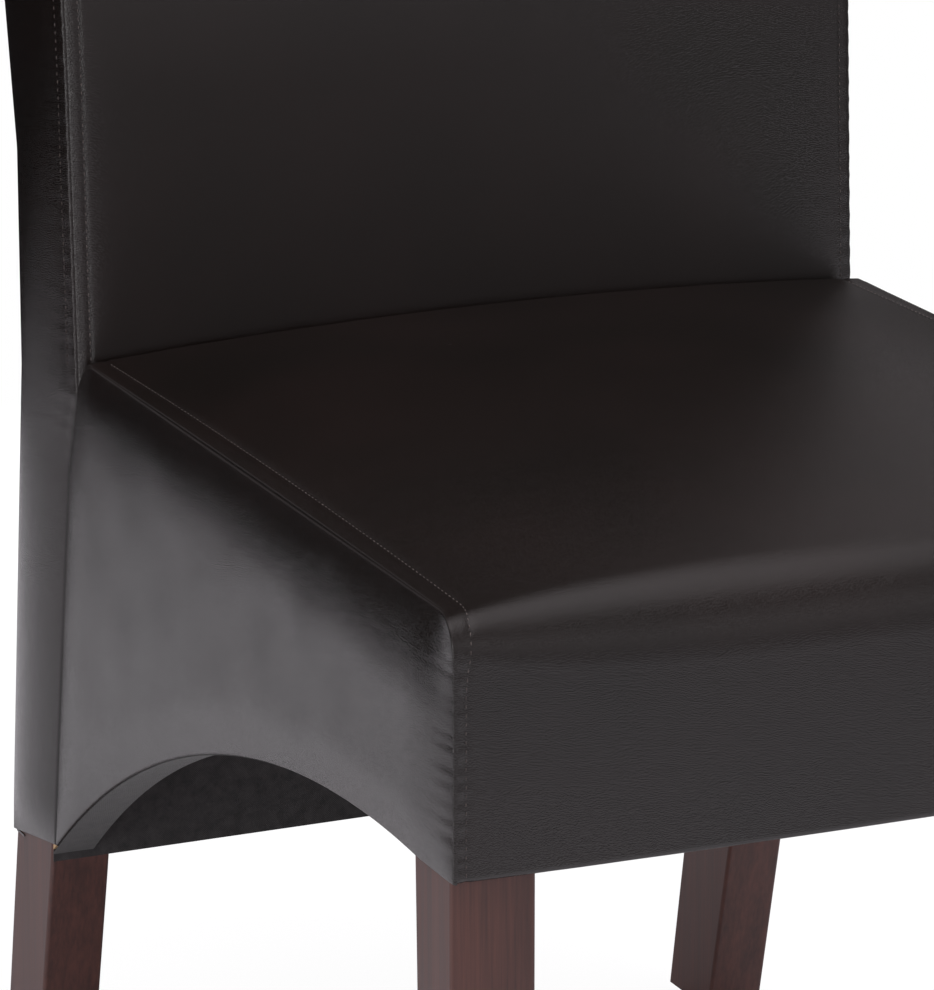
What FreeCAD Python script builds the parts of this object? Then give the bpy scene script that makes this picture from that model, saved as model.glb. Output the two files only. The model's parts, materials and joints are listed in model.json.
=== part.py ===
import FreeCAD, Part
import math
import os
import re
import Sketcher
from FreeCAD import Placement, Rotation, Vector

# Upholstered dining chair, in millimetres. X runs across the seat, Y from the front to the back
# and Z up from the floor. Depths are measured from the front of the seat, and each piece is
# then placed so that the origin lies on the floor under the middle of the chair.

doc = FreeCAD.newDocument("dining_chair")

SIZES = (
    ("seat_width_front", 460, "width over the covers at the front of the seat"),
    ("seat_width_rear", 448, "width over the covers at the face of the back"),
    ("seat_depth", 488, "front of the seat to the face of the back"),
    ("cover_bottom", 337, "height of the seat cover's lower front edge"),
    ("seam_rise", 122, "side seam above the seat cover's lower edge"),
    ("seat_crown", 20, "rise of the seat's middle over the side seams"),
    ("rear_crown", 9, "rise of the seat's rear edge over the side seams"),
    ("front_bow", 5, "forward bow of the seat's front face"),
    ("front_roll", 38, "radius of the roll over the middle of the seat's front edge"),
    ("corner_roll", 15, "radius of the roll at the front corners of the seat"),
    ("panel_corner", 20, "radius of the side panel's upper rear corner"),
    ("gap_bend_drop", 60, "bend of the line between panel and band below the side seams"),
    ("gap_bend_depth", 5.5, "bend of that line behind the straight way to the hem"),
    ("arch_radius", 740, "radius of the arch under the side panel"),
    ("arch_start", 40, "level length of the side panel's lower edge at the front"),
    ("cover_thickness", 1.2, "thickness of the leather"),
    ("cover_gap", 0.2, "clearance between the leather and what it lies on"),
    ("panel_gap", 1.0, "open line between the side panel and the back's side band"),
    ("post_gap", 1.2, "clearance between the seat's rails and the rear posts"),
    ("hem_return", 20, "width of the leather turned under the frame"),
    ("rail_thickness", 22, "thickness of the seat and back rails"),
    ("rail_height", 75, "height of the seat rails"),
    ("joint_gap", 0.3, "clearance at the ends of the cross rails"),
    ("leg_width", 42, "width of a front leg"),
    ("front_leg_depth", 43, "depth of a front leg at the seat"),
    ("front_leg_foot", 33, "depth of a front leg at the foot"),
    ("leg_setback", 5, "front leg behind the front of the seat"),
    ("leg_edge", 2, "rounding of the legs' edges"),
    ("post_width", 33, "width of a rear post"),
    ("post_depth", 57, "depth of a rear post at the seat"),
    ("post_top_depth", 46, "depth of a rear post at its top"),
    ("post_bend", 180, "radius where a rear post changes direction"),
    ("back_thickness", 95, "face of the back to its rear cover above the seat"),
    ("rear_padding", 1.1, "wadding between the rear cover and the posts"),
    ("hem_height", 166, "height of the rear cover's lower edge"),
    ("band_lead", 8, "side band ahead of the rear post at its lower edge"),
    ("middle_rail_top", 702, "height of the back's middle rail"),
    ("lumbar_low", 435, "height where the rear posts turn upright"),
    ("lumbar_high", 552, "height where the rear posts turn back"),
    ("chair_height", 990, "overall height"),
    ("top_padding", 14, "cover's top above the rear posts"),
    ("leg_rake_front", 13.1, "rake of the rear legs' front faces, degrees"),
    ("leg_rake_rear", 10.9, "rake of the rear legs' rear faces, degrees"),
    ("apron_rake", 6.4, "rake of the rear posts between hem and seat, degrees"),
    ("back_lean", 11.3, "lean of the back's rear, degrees"),
    ("face_lean_low", 2.9, "lean of the back's face just above the seat, degrees"),
    ("face_lean_high", 13.2, "lean of the back's upper face, degrees"),
    ("face_bend_height", 650, "height where the two leans of the face meet"),
    ("face_bend", 600, "radius of the bend in the back's face"),
    ("face_crown", 4, "crown of the back's face across its width"),
    ("face_roll", 6, "drop of the back's face at its side seams"),
    ("top_roll", 30, "radius of the roll over the back's front top edge"),
    ("rear_roll", 12, "radius of the roll over the back's rear top edge"),
    ("webbing_width", 50, "width of a webbing strap"),
    ("webbing_thickness", 1.5, "thickness of a webbing strap"),
    ("lining_thickness", 0.6, "thickness of the lining cloth"),
    ("apron_thickness", 15, "thickness of the board between the rear legs"),
    ("block_reach", 45, "length of a corner block along each rail"),
    ("block_height", 50, "height of a corner block"),
    ("block_gap", 0.6, "clearance between a corner block and the rails"),
    ("dowel_radius", 4, "radius of a dowel"),
    ("dowel_length", 32, "length of a dowel"),
    ("bore_gap", 0.1, "radial clearance of a bore round its dowel or fastener"),
    ("bolt_radius", 3, "radius of the bolts"),
    ("leg_bolt_length", 62, "length of a leg bolt"),
    ("back_bolt_length", 38, "length of a bolt between seat and back"),
    ("washer_radius", 8, "radius of a washer"),
    ("washer_thickness", 1.6, "thickness of a washer"),
    ("nut_radius", 5.8, "radius over a nut's corners"),
    ("nut_height", 5, "height of a nut"),
    ("screw_radius", 2.2, "radius of a wood screw"),
    ("screw_bite", 17, "length of a wood screw in the rail behind the block"),
    ("screw_head_radius", 4.2, "radius of a wood screw's head"),
    ("screw_head_height", 2.6, "height of a wood screw's head"),
    ("glide_radius", 12, "radius of a glide"),
    ("glide_height", 5, "height of a glide"),
    ("nail_radius", 1.3, "radius of a glide's nail"),
    ("nail_length", 16, "length of a glide's nail in the leg"),
)

DERIVED = (
    ("half_front", "seat_width_front / 2"),
    ("side_slope", "(seat_width_front - seat_width_rear) / 2 / seat_depth"),
    ("wood_inset", "cover_thickness + cover_gap"),
    ("seam_height", "cover_bottom + seam_rise"),
    ("frame_top", "cover_bottom + rail_height"),
    ("foam_bottom", "frame_top + 2 * webbing_thickness + cover_gap"),
    ("leg_rear", "leg_setback + front_leg_depth"),
    ("cover_rear", "seat_depth + back_thickness"),
    ("rear_gap", "cover_thickness + cover_gap + rear_padding"),
    ("post_rear", "cover_rear - rear_gap"),
    ("post_front", "post_rear - post_depth"),
    ("hem_shift", "(lumbar_low - hem_height) * tan(apron_rake)"),
    ("foot_drop", "hem_height - glide_height"),
    ("post_top", "chair_height - top_padding"),
    ("top_shift", "(post_top - lumbar_high) * tan(back_lean)"),
    ("post_hem_front", "post_front + hem_shift"),
    ("post_hem_rear", "post_rear + hem_shift"),
    ("hem_front", "hem_height + (post_depth + band_lead) * tan(leg_rake_rear)"),
    ("band_hem", "post_front + (lumbar_low - hem_front) * tan(apron_rake) - band_lead"),
    ("knee_height", "seam_height - panel_corner"),
    ("knee_depth", "seat_depth + face_crown + face_roll - panel_corner * tan(face_lean_low)"),
    ("gap_bend_height", "seam_height - gap_bend_drop"),
    ("gap_bend_share", "(knee_height - gap_bend_height) / (knee_height - hem_front)"),
    ("gap_bend", "knee_depth + (band_hem - knee_depth) * gap_bend_share + gap_bend_depth"),
    ("arch_chord", "sqrt((band_hem - panel_gap - arch_start) ^ 2 + (cover_bottom - hem_front) ^ 2)"),
    ("arch_drop", "sqrt(arch_radius ^ 2 - arch_chord ^ 2 / 4)"),
    ("arch_centre",
     "(band_hem - panel_gap + arch_start) / 2 - arch_drop * (cover_bottom - hem_front) / arch_chord"),
    ("arch_centre_height",
     "(cover_bottom + hem_front) / 2 - arch_drop * (band_hem - panel_gap - arch_start) / arch_chord"),
    ("rail_arch", "arch_radius + wood_inset"),
    ("rail_rear_top", "post_front + (lumbar_low - frame_top) * tan(apron_rake) - post_gap"),
    ("rail_rear_low", "band_hem + band_lead - post_gap"),
    ("rear_rail_front", "rail_rear_top - rail_thickness"),
    ("skew", "abs(side_slope) * (max(post_width; leg_width) + wood_inset)"),
    ("rear_reach", "cover_rear + (chair_height - rear_roll - lumbar_high) * tan(back_lean)"
                   " + rear_roll * (1 - 1 / cos(back_lean))"),
    ("depth_centre", "(rear_reach - front_bow) / 2"),
)

sheet = doc.addObject("Spreadsheet::Sheet", "Dimensions")
for row, (alias, value, meaning) in enumerate(SIZES, start=1):
    sheet.set("A%d" % row, meaning)
    sheet.set("B%d" % row, str(value))
    sheet.setAlias("B%d" % row, alias)
for row, (alias, formula) in enumerate(DERIVED, start=len(SIZES) + 1):
    sheet.set("B%d" % row, "=" + formula)
    sheet.setAlias("B%d" % row, alias)
doc.recompute()
NAMES = {entry[0] for entry in SIZES + DERIVED}


def size(text):
    """Number of millimetres or degrees that an expression of the sheet's names gives."""
    return float(sheet.evalExpression(text))


def link(text):
    """The same expression as an object outside the sheet has to write it."""
    return re.sub(r"[a-z_]+", lambda word: ("Dimensions." if word[0] in NAMES else "") + word[0], text)


# Placements

LEFT, RIGHT = -1, 1
SIDES = ((LEFT, "left"), (RIGHT, "right"))


def half_width(depth):
    """Half of the width over the covers at a depth behind the front of the seat."""
    return size("half_front") - size("side_slope") * depth


def middle_place():
    """Placement of a piece drawn about the middle of the chair."""
    return Placement(Vector(0, -size("depth_centre"), 0), Rotation())


def side_place(side):
    """Placement of a piece drawn in the slanted plane of the chair's left or right cover."""
    turn = math.degrees(math.atan(size("side_slope"))) * side
    corner = Vector(side * size("half_front"), -size("depth_centre"), 0)
    return Placement(corner, Rotation(Vector(0, 0, 1), turn))


def side_point(side, inward, depth, height):
    """Place in the chair of a point given by its distance inward from the side cover's plane."""
    return side_place(side).multVec(Vector(-side * inward, depth, height))


# Sketches and bodies


def outline(sketch, corners):
    """Draw a closed outline whose corners and radii follow the sheet.

    Each corner is (across, up), or (across, up, radius, turn) where the edge that leaves it is
    an arc: turn is 1 with the arc's centre left of the way that it runs, and -1 with it right.
    """
    spots = [Vector(size(corner[0]), size(corner[1]), 0) for corner in corners]
    edges = []
    for index, corner in enumerate(corners):
        here, there = spots[index], spots[(index + 1) % len(spots)]
        if len(corner) == 2:
            edges.append((sketch.addGeometry(Part.LineSegment(here, there), False), 1, 2))
            continue
        radius, turn = size(corner[2]), corner[3]
        half = (there - here) * 0.5
        left = Vector(-half.y, half.x, 0).normalize()
        centre = here + half + left * (turn * math.sqrt(radius ** 2 - half.Length ** 2))
        first, last = (here, there) if turn > 0 else (there, here)
        angles = [math.atan2(end.y - centre.y, end.x - centre.x) for end in (first, last)]
        arc = Part.ArcOfCircle(Part.Circle(centre, Vector(0, 0, 1), radius), *angles)
        number = sketch.addGeometry(arc, False)
        edges.append((number, 1, 2) if turn > 0 else (number, 2, 1))
        fixed = sketch.addConstraint(Sketcher.Constraint("Radius", number, radius))
        sketch.setExpression("Constraints[%d]" % fixed, link(corner[2]))
    for index, (number, first, last) in enumerate(edges):
        following = edges[(index + 1) % len(edges)]
        sketch.addConstraint(Sketcher.Constraint("Coincident", number, last, following[0], following[1]))
        for kind, text, value in (("DistanceX", corners[index][0], spots[index].x),
                                  ("DistanceY", corners[index][1], spots[index].y)):
            fixed = sketch.addConstraint(Sketcher.Constraint(kind, -1, 1, number, first, value))
            sketch.setExpression("Constraints[%d]" % fixed, link(text))


def new_sketch(body, plane, start="0"):
    """Empty sketch on one of the body's origin planes, moved off it by start."""
    sketch = body.newObject("Sketcher::SketchObject", body.Name + "_sketch")
    base = next(item for item in body.Origin.OriginFeatures if item.Role == plane)
    sketch.AttachmentSupport = [(base, "")]
    sketch.MapMode = "FlatFace"
    sketch.setExpression("AttachmentOffset.Base.z", link(start))
    return sketch


def add_pad(body, plane, corners, length, start="0", reverse=False, midplane=False):
    """Pad an outline by a length, from a start off the plane."""
    sketch = new_sketch(body, plane, start)
    outline(sketch, corners)
    pad = body.newObject("PartDesign::Pad", body.Name + "_pad")
    pad.Profile = sketch
    pad.Reversed = reverse
    pad.Midplane = midplane
    pad.setExpression("Length", link(length))
    doc.recompute()
    return pad


def side_pad(body, side, corners, inset, length):
    """Pad a side view inward from a distance behind the side cover's plane."""
    start = inset if side == LEFT else "-(%s)" % inset
    return add_pad(body, "YZ_Plane", corners, length, start, reverse=side == RIGHT)


def round_edges(body, radius, wanted):
    """Round the edges of the body's last feature whose middle and direction pass the test."""
    feature = body.Tip
    names = ["Edge%d" % number for number, edge in enumerate(feature.Shape.Edges, start=1)
             if wanted(edge)]
    fillet = body.newObject("PartDesign::Fillet", body.Name + "_fillet")
    fillet.Base = (feature, names)
    fillet.setExpression("Radius", link(radius))
    doc.recompute()


def runs_across(edge):
    """True for a straight edge along X."""
    tangent = edge.tangentAt(edge.FirstParameter)
    return abs(abs(tangent.x) - 1) < 1e-6


def bores(body, tool):
    """Cut the shared drillings out of a wooden piece, which takes over the piece's name."""
    label = body.Label
    body.Label = label + " blank"
    cut = doc.addObject("Part::Cut", label + "_drilled")
    cut.Label = label
    cut.Base = body
    cut.Tool = tool
    return cut


def solid_node(label, shape, place=None):
    """Sub-part whose shape is worked out from the sheet's sizes."""
    node = doc.addObject("Part::Feature", label)
    node.Label = label
    node.Shape = shape
    node.Placement = place or middle_place()
    return node


def new_body(label, place):
    """Body of a sub-part, in its place."""
    body = doc.addObject("PartDesign::Body", label)
    body.Label = label
    body.Placement = place
    return body


# Wooden frame

POST_FRONT = (
    ("post_hem_front + foot_drop * tan(leg_rake_front)", "glide_height"),
    ("post_hem_front", "hem_height"),
    ("post_front", "lumbar_low"),
    ("post_front", "lumbar_high"),
    ("post_rear + top_shift - post_top_depth", "post_top"),
)
POST_REAR = (
    ("post_rear + top_shift", "post_top"),
    ("post_rear", "lumbar_high"),
    ("post_rear", "lumbar_low"),
    ("post_hem_rear", "hem_height"),
    ("post_hem_rear + foot_drop * tan(leg_rake_rear)", "glide_height"),
)
POST_BENDS = POST_FRONT[1:4] + POST_REAR[1:4]


def front_leg(side, word):
    """Front leg: square at the seat, with its rear face tapering to the foot."""
    body = new_body("front_leg_" + word, side_place(side))
    corners = (("leg_setback", "glide_height"), ("leg_setback + front_leg_foot", "glide_height"),
               ("leg_rear", "cover_bottom"), ("leg_rear", "frame_top"), ("leg_setback", "frame_top"))
    side_pad(body, side, corners, "wood_inset", "leg_width")
    round_edges(body, "leg_edge", lambda edge: not runs_across(edge) and edge.BoundBox.ZLength > 1)
    return body


def rear_post(side, word):
    """Rear leg and back post sawn from one plank, raked below the seat and leaning back above it."""
    body = new_body("rear_post_" + word, side_place(side))
    side_pad(body, side, POST_FRONT + POST_REAR, "wood_inset", "post_width")
    bends = [Vector(0, size(depth), size(height)) for depth, height in POST_BENDS]

    def at_bend(edge):
        middle = Vector(0, edge.CenterOfMass.y, edge.CenterOfMass.z)
        return runs_across(edge) and min(middle.distanceToPoint(bend) for bend in bends) < 0.01

    round_edges(body, "post_bend", at_bend)
    round_edges(body, "leg_edge", lambda edge: not runs_across(edge) and edge.BoundBox.ZLength > 1)
    return body


def arch_height(depth, radius):
    """Expression for the height of the arch under the side panel at a depth."""
    return "arch_centre_height + sqrt((%s) ^ 2 - (%s - arch_centre) ^ 2)" % (radius, depth)


def side_rail(side, word):
    """Side rail: level at the front, with an arch that sweeps down to the rear leg."""
    body = new_body("side_rail_" + word, side_place(side))
    corners = (("leg_rear", arch_height("leg_rear", "rail_arch")),
               ("leg_rear", "frame_top"),
               ("rail_rear_top", "frame_top"),
               ("rail_rear_low", arch_height("rail_rear_low", "rail_arch"), "rail_arch", 1))
    side_pad(body, side, corners, "wood_inset", "rail_thickness")
    return body


def cross_piece(label, corners, half_length):
    """Piece drawn in side view and padded to both sides of the chair's middle."""
    body = new_body(label, middle_place())
    add_pad(body, "YZ_Plane", corners, "2 * (%s)" % half_length, midplane=True)
    return body


def inside_posts(depth):
    """Expression for half of the clear width between the rear posts at a depth."""
    return "half_front - side_slope * (%s) - wood_inset - post_width - joint_gap" % depth


def on_front(height):
    """Expression for the depth of the posts' upper front face at a height."""
    return ("post_front + (post_depth - post_top_depth + top_shift) * (%s - lumbar_high)"
            " / (post_top - lumbar_high)" % height)


def front_rail():
    """Front rail between the front legs."""
    corners = (("leg_setback", "cover_bottom + wood_inset"),
               ("leg_setback + rail_thickness", "cover_bottom + wood_inset"),
               ("leg_setback + rail_thickness", "frame_top"), ("leg_setback", "frame_top"))
    return cross_piece("front_rail", corners,
                       "half_front - wood_inset - leg_width - side_slope * leg_rear - joint_gap")


def below_lumbar(depth, height):
    """Expression for the depth, at a height, of a raked line that is at depth where the rake starts."""
    return "%s + (lumbar_low - (%s)) * tan(apron_rake)" % (depth, height)


def raked_rail(label, front, half_length):
    """Rail beside the seat's rear, which leans with the posts there."""
    low, high = "cover_bottom + wood_inset", "frame_top"
    corners = ((below_lumbar(front, low), low), (below_lumbar(front, low) + " + rail_thickness", low),
               (below_lumbar(front, high) + " + rail_thickness", high), (below_lumbar(front, high), high))
    return cross_piece(label, corners, half_length)


def rear_rail():
    """Rear rail of the seat, between the side rails and in front of the posts."""
    reach = "half_front - side_slope * (post_hem_front - post_gap) - wood_inset - rail_thickness - joint_gap"
    return raked_rail("rear_rail", "post_front - post_gap - rail_thickness", reach)


def back_bottom_rail():
    """Lowest rail of the back, between the posts and behind the seat's rear rail."""
    return raked_rail("back_bottom_rail", "post_front", inside_posts("post_hem_front + rail_thickness"))


def leaning_rail(label, low, high):
    """Rail of the back between two heights, flush with the posts' leaning front faces."""
    corners = ((on_front(low), low), (on_front(low) + " + rail_thickness", low),
               (on_front(high) + " + rail_thickness", high), (on_front(high), high))
    return cross_piece(label, corners, inside_posts(on_front(high) + " + rail_thickness"))


def rear_apron():
    """Board that fills the space between the rear legs from the hem to the back's bottom rail."""
    top = "cover_bottom - joint_gap"
    top_rear = "post_rear + (lumbar_low - %s) * tan(apron_rake)" % top
    low = "hem_height + wood_inset"
    low_rear = "post_rear + (lumbar_low - %s) * tan(apron_rake)" % low
    corners = ((low_rear + " - apron_thickness", low), (low_rear, low), (top_rear, top),
               (top_rear + " - apron_thickness", top))
    return cross_piece("rear_apron", corners, inside_posts(low_rear))


def corner_block(label, side, corners):
    """Corner block in plan, below the top of the frame."""
    body = new_body(label, side_place(side))
    inward = "" if side == LEFT else "-"
    plan = tuple(("%s(%s)" % (inward, across), depth) for across, depth in corners)
    add_pad(body, "XY_Plane", plan, "block_height", "frame_top - block_height - block_gap")
    return body


RAIL_FACE = "wood_inset + rail_thickness + block_gap"
LEG_FACE = "wood_inset + leg_width + block_gap"
FRONT_FACE = "leg_setback + rail_thickness + block_gap + abs(side_slope) * (leg_width + block_reach)"
BEHIND_LEG = "leg_rear + block_gap"
REAR_FACE = "rear_rail_front - block_gap"


def corner_blocks():
    """Four blocks: the front pair is notched round the legs, and the rear pair is a wedge."""
    front = ((LEG_FACE, FRONT_FACE), (LEG_FACE + " + block_reach", FRONT_FACE),
             (RAIL_FACE, BEHIND_LEG + " + block_reach"), (RAIL_FACE, BEHIND_LEG), (LEG_FACE, BEHIND_LEG))
    rear = ((RAIL_FACE, REAR_FACE), (RAIL_FACE, REAR_FACE + " - block_reach"),
            (RAIL_FACE + " + block_reach", REAR_FACE))
    made = []
    for side, word in SIDES:
        made.append(corner_block("corner_block_front_" + word, side, front))
        made.append(corner_block("corner_block_rear_" + word, side, rear))
    return made


# Fasteners and dowels: each is a start, a direction into the wood and the sizes of its section


def rod(radius, length, start, along):
    """Round rod from a start along a direction."""
    return Part.makeCylinder(radius, length, start, along)


def dowel_axes():
    """Middle and direction of each dowel, two to a joint, given in the chair's frame."""
    axes = []
    shares = (0.3, 0.75)
    rail_middle, rail_inner = size("wood_inset + rail_thickness / 2"), size("wood_inset + rail_thickness")
    leg_inner, post_inner = size("wood_inset + leg_width"), size("wood_inset + post_width")
    across, back = Vector(1, 0, 0), Vector(0, 1, 0)
    for side, _ in SIDES:
        for share in shares:
            height = size("cover_bottom") + share * size("rail_height")
            post_face = size(below_lumbar("post_front", repr(height)))
            half = size("rail_thickness / 2")
            axes.append((side_point(side, rail_middle, size("leg_rear"), height), back))
            axes.append((side_point(side, rail_middle, post_face, height), back))
            axes.append((side_point(side, leg_inner, size("leg_setback") + half, height), across))
            axes.append((side_point(side, post_inner, post_face + half, height), across))
            low = height - size("rail_height") * 0.21
            rear_face = size(below_lumbar("post_front - post_gap", repr(low)))
            axes.append((side_point(side, rail_inner, rear_face - half, low), across))
            height = size("hem_height") + share * size("cover_bottom - hem_height")
            depth = size(below_lumbar("post_rear - apron_thickness / 2", repr(height)))
            axes.append((side_point(side, post_inner, depth, height), across))
            for top, tall in (("post_top", "rail_height"), ("middle_rail_top", "webbing_width")):
                height = size(top) - share * size(tall)
                axes.append((side_point(side, post_inner, size(on_front(repr(height))) + half, height), across))
    return axes


def leg_bolt_axes():
    """Inner end and direction of each bolt that runs through a front corner block into a leg."""
    axes = []
    near_front = Vector(size(LEG_FACE + " + block_reach"), size(FRONT_FACE), 0)
    near_side = Vector(size(RAIL_FACE), size(BEHIND_LEG + " + block_reach"), 0)
    leg = Vector(size("wood_inset + leg_width / 2"), size("(leg_setback + leg_rear) / 2"), 0)
    slant = (near_side - near_front).normalize()
    start = near_front + slant * (leg - near_front).dot(slant)
    for side, _ in SIDES:
        for share in (0.3, 0.7):
            height = size("frame_top - block_gap") - share * size("block_height")
            ends = [side_point(side, spot.x, spot.y, height) for spot in (start, leg)]
            axes.append((ends[0], (ends[1] - ends[0]).normalize()))
    return axes


def back_bolt_axes():
    """Head end and direction of each bolt that joins the seat's rear rail to the back."""
    axes = []
    height = size("frame_top - rail_height / 2")
    face = size(below_lumbar("post_front - post_gap - rail_thickness", repr(height)))
    rake = math.radians(size("apron_rake"))
    for share in (-0.55, -0.2, 0.2, 0.55):
        place = Vector(share * size("seat_width_rear") / 2, face, height)
        axes.append((middle_place().multVec(place), Vector(0, math.cos(rake), math.sin(rake))))
    return axes


def screw_axes():
    """Head and direction of each screw that holds a corner block: one into each rail it touches."""
    axes = []
    height = size("frame_top - block_gap - block_height / 2")
    near, far = size("block_reach * 0.2"), size("block_reach * 0.75")
    rail, leg, rear = size(RAIL_FACE), size(LEG_FACE), size(REAR_FACE)
    for side, _ in SIDES:
        to_side, to_front, to_rear = Vector(side, 0, 0), Vector(0, -1, 0), Vector(0, 1, 0)
        axes.append((side_point(side, rail + near, size(BEHIND_LEG) + far, height), to_side))
        axes.append((side_point(side, leg + far, size(FRONT_FACE) + near, height), to_front))
        axes.append((side_point(side, rail + near, rear - far, height), to_side))
        axes.append((side_point(side, rail + far, rear - near, height), to_rear))
    return axes


def screw_length():
    """Length of a block screw under its head."""
    return size("block_reach * 0.2 + block_gap + screw_bite")


def glide_spots():
    """Middle of each glide on the floor, with the word that names its leg."""
    front = size("leg_setback + front_leg_foot / 2")
    foot_front = size("post_hem_front + foot_drop * tan(leg_rake_front)")
    foot_rear = size("post_hem_rear + foot_drop * tan(leg_rake_rear)")
    spots = []
    for side, word in SIDES:
        spots.append(("front_" + word, side_point(side, size("wood_inset + leg_width / 2"), front, 0)))
        middle = (foot_front + foot_rear) / 2
        spots.append(("rear_" + word, side_point(side, size("wood_inset + post_width / 2"), middle, 0)))
    return spots


def drillings():
    """All the bores in the wooden pieces, as one cutting tool."""
    gap = size("bore_gap")
    tools = []
    length = size("dowel_length")
    for middle, along in dowel_axes():
        tools.append(rod(size("dowel_radius") + gap, length + 2 * gap, middle - along * (length / 2 + gap), along))
    for start, along in leg_bolt_axes():
        back = along * (size("washer_thickness + nut_height") + 2 * gap)
        tools.append(rod(size("bolt_radius") + gap, size("leg_bolt_length") + 2 * gap, start - back, along))
    for start, along in back_bolt_axes():
        tools.append(rod(size("bolt_radius") + gap, size("back_bolt_length") + gap, start, along))
    for start, along in screw_axes():
        tools.append(rod(size("screw_radius") + gap, screw_length() + gap, start, along))
        recess = size("block_reach")
        tools.append(rod(size("screw_head_radius") + gap, recess, start - along * recess, along))
    for _, spot in glide_spots():
        up = Vector(0, 0, 1)
        tools.append(rod(size("nail_radius") + gap, size("glide_height + nail_length") + gap, spot, up))
    tool = doc.addObject("Part::Feature", "drillings")
    tool.Shape = Part.makeCompound(tools)
    return tool


def prism(sides, radius, height, start, along):
    """Prism with a number of sides, such as a nut, a bolt's head or a fluted dowel."""
    turns = [2 * math.pi * corner / sides for corner in range(sides + 1)]
    points = [Vector(radius * math.cos(turn), radius * math.sin(turn), 0) for turn in turns]
    shape = Part.Face(Part.makePolygon(points)).extrude(Vector(0, 0, height))
    shape.Placement = Placement(start, Rotation(Vector(0, 0, 1), along))
    return shape


def group(label, solids):
    """Node that holds identical fasteners as separate solids."""
    return solid_node(label, Part.makeCompound(solids), Placement())


def make_fasteners():
    """Dowels, bolts with washers and nuts, block screws, and the glides with their nails."""
    gap = size("bore_gap")
    length = size("dowel_length")
    group("rail_dowels", [prism(12, size("dowel_radius"), length, middle - along * (length / 2), along)
                          for middle, along in dowel_axes()])
    bolt, washer, thick = size("bolt_radius"), size("washer_radius"), size("washer_thickness")
    nut, nut_high = size("nut_radius"), size("nut_height")
    bolts, washers, nuts = [], [], []
    for start, along in leg_bolt_axes():
        bolts.append(rod(bolt, size("leg_bolt_length"), start - along * (thick + nut_high + gap), along))
        ring = rod(washer, thick, start - along * thick, along)
        washers.append(ring.cut(rod(bolt + gap, thick, start - along * thick, along)))
        seat = start - along * (thick + nut_high)
        nuts.append(prism(6, nut, nut_high, seat, along).cut(rod(bolt + gap, nut_high, seat, along)))
    group("leg_bolts", bolts)
    group("leg_bolt_washers", washers)
    group("leg_bolt_nuts", nuts)
    bolts, washers = [], []
    for start, along in back_bolt_axes():
        head = prism(6, nut, nut_high, start - along * (thick + nut_high), along)
        shank = rod(bolt, thick + size("back_bolt_length"), start - along * thick, along)
        bolts.append(head.fuse(shank).removeSplitter())
        ring = rod(washer, thick, start - along * thick, along)
        washers.append(ring.cut(rod(bolt + gap, thick, start - along * thick, along)))
    group("back_bolts", bolts)
    group("back_bolt_washers", washers)
    screws = []
    for start, along in screw_axes():
        high = size("screw_head_height")
        head = Part.makeCone(size("screw_head_radius"), size("screw_radius"), high, start - along * high, along)
        screws.append(head.fuse(rod(size("screw_radius"), screw_length(), start, along)).removeSplitter())
    group("corner_block_screws", screws)
    up = Vector(0, 0, 1)
    nails = []
    for word, spot in glide_spots():
        glide_high, radius = size("glide_height"), size("glide_radius")
        disc = rod(radius, glide_high, spot, up)
        rim = [edge for edge in disc.Edges if abs(edge.CenterOfMass.z) < 0.01 and edge.Closed]
        disc = disc.makeChamfer(glide_high / 4, rim)
        pocket = rod(size("nail_radius") + gap, glide_high, spot + up * (glide_high / 2), up)
        solid_node("glide_" + word, disc.cut(pocket), Placement())
        nails.append(rod(size("nail_radius"), size("nail_length") + glide_high / 2,
                         spot + up * (glide_high / 2), up))
    group("glide_nails", nails)


# Webbing and linings


def spread(count, low, high):
    """Evenly spaced middles between two limits."""
    return [low + (high - low) * (index + 0.5) / count for index in range(count)]


def make_webbing():
    """Straps under the seat in two crossing layers, and straps behind the back's foam."""
    wide, thick, top = size("webbing_width"), size("webbing_thickness"), size("frame_top")
    front, rear = size("leg_setback"), size("rail_rear_top")
    first, last = size("leg_rear"), size("rear_rail_front")
    crosswise = []
    for depth in spread(5, first, last):
        half = half_width(depth + wide / 2) - size("wood_inset")
        crosswise.append(Part.makeBox(2 * half, wide, thick, Vector(-half, depth - wide / 2, top)))
    solid_node("seat_webbing_crosswise", Part.makeCompound(crosswise))
    inner = size("half_front - wood_inset - leg_width - side_slope * seat_depth")
    lengthwise = [Part.makeBox(wide, rear - front, thick, Vector(across - wide / 2, front, top + thick))
                  for across in spread(5, -inner, inner)]
    solid_node("seat_webbing_lengthwise", Part.makeCompound(lengthwise))
    straps = []
    heights = [size("(lumbar_low + lumbar_high) / 2")]
    heights += spread(4, size("lumbar_high + webbing_width / 2"), size("post_top - rail_height"))
    clear = size("skew + cover_gap")
    for height in heights:
        ends = [(size("post_front") if height < size("lumbar_high") else size(on_front(repr(level))), level)
                for level in (height - wide / 2, height + wide / 2)]
        half = half_width(ends[1][0]) - size("wood_inset")
        corners = [Vector(-half, depth - clear - shift, level)
                   for shift, pair in ((0, ends), (thick, ends[::-1])) for depth, level in pair]
        face = Part.Face(Part.makePolygon(corners + corners[:1]))
        straps.append(face.extrude(Vector(2 * half, 0, 0)))
    solid_node("back_webbing", Part.makeCompound(straps))


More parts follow.
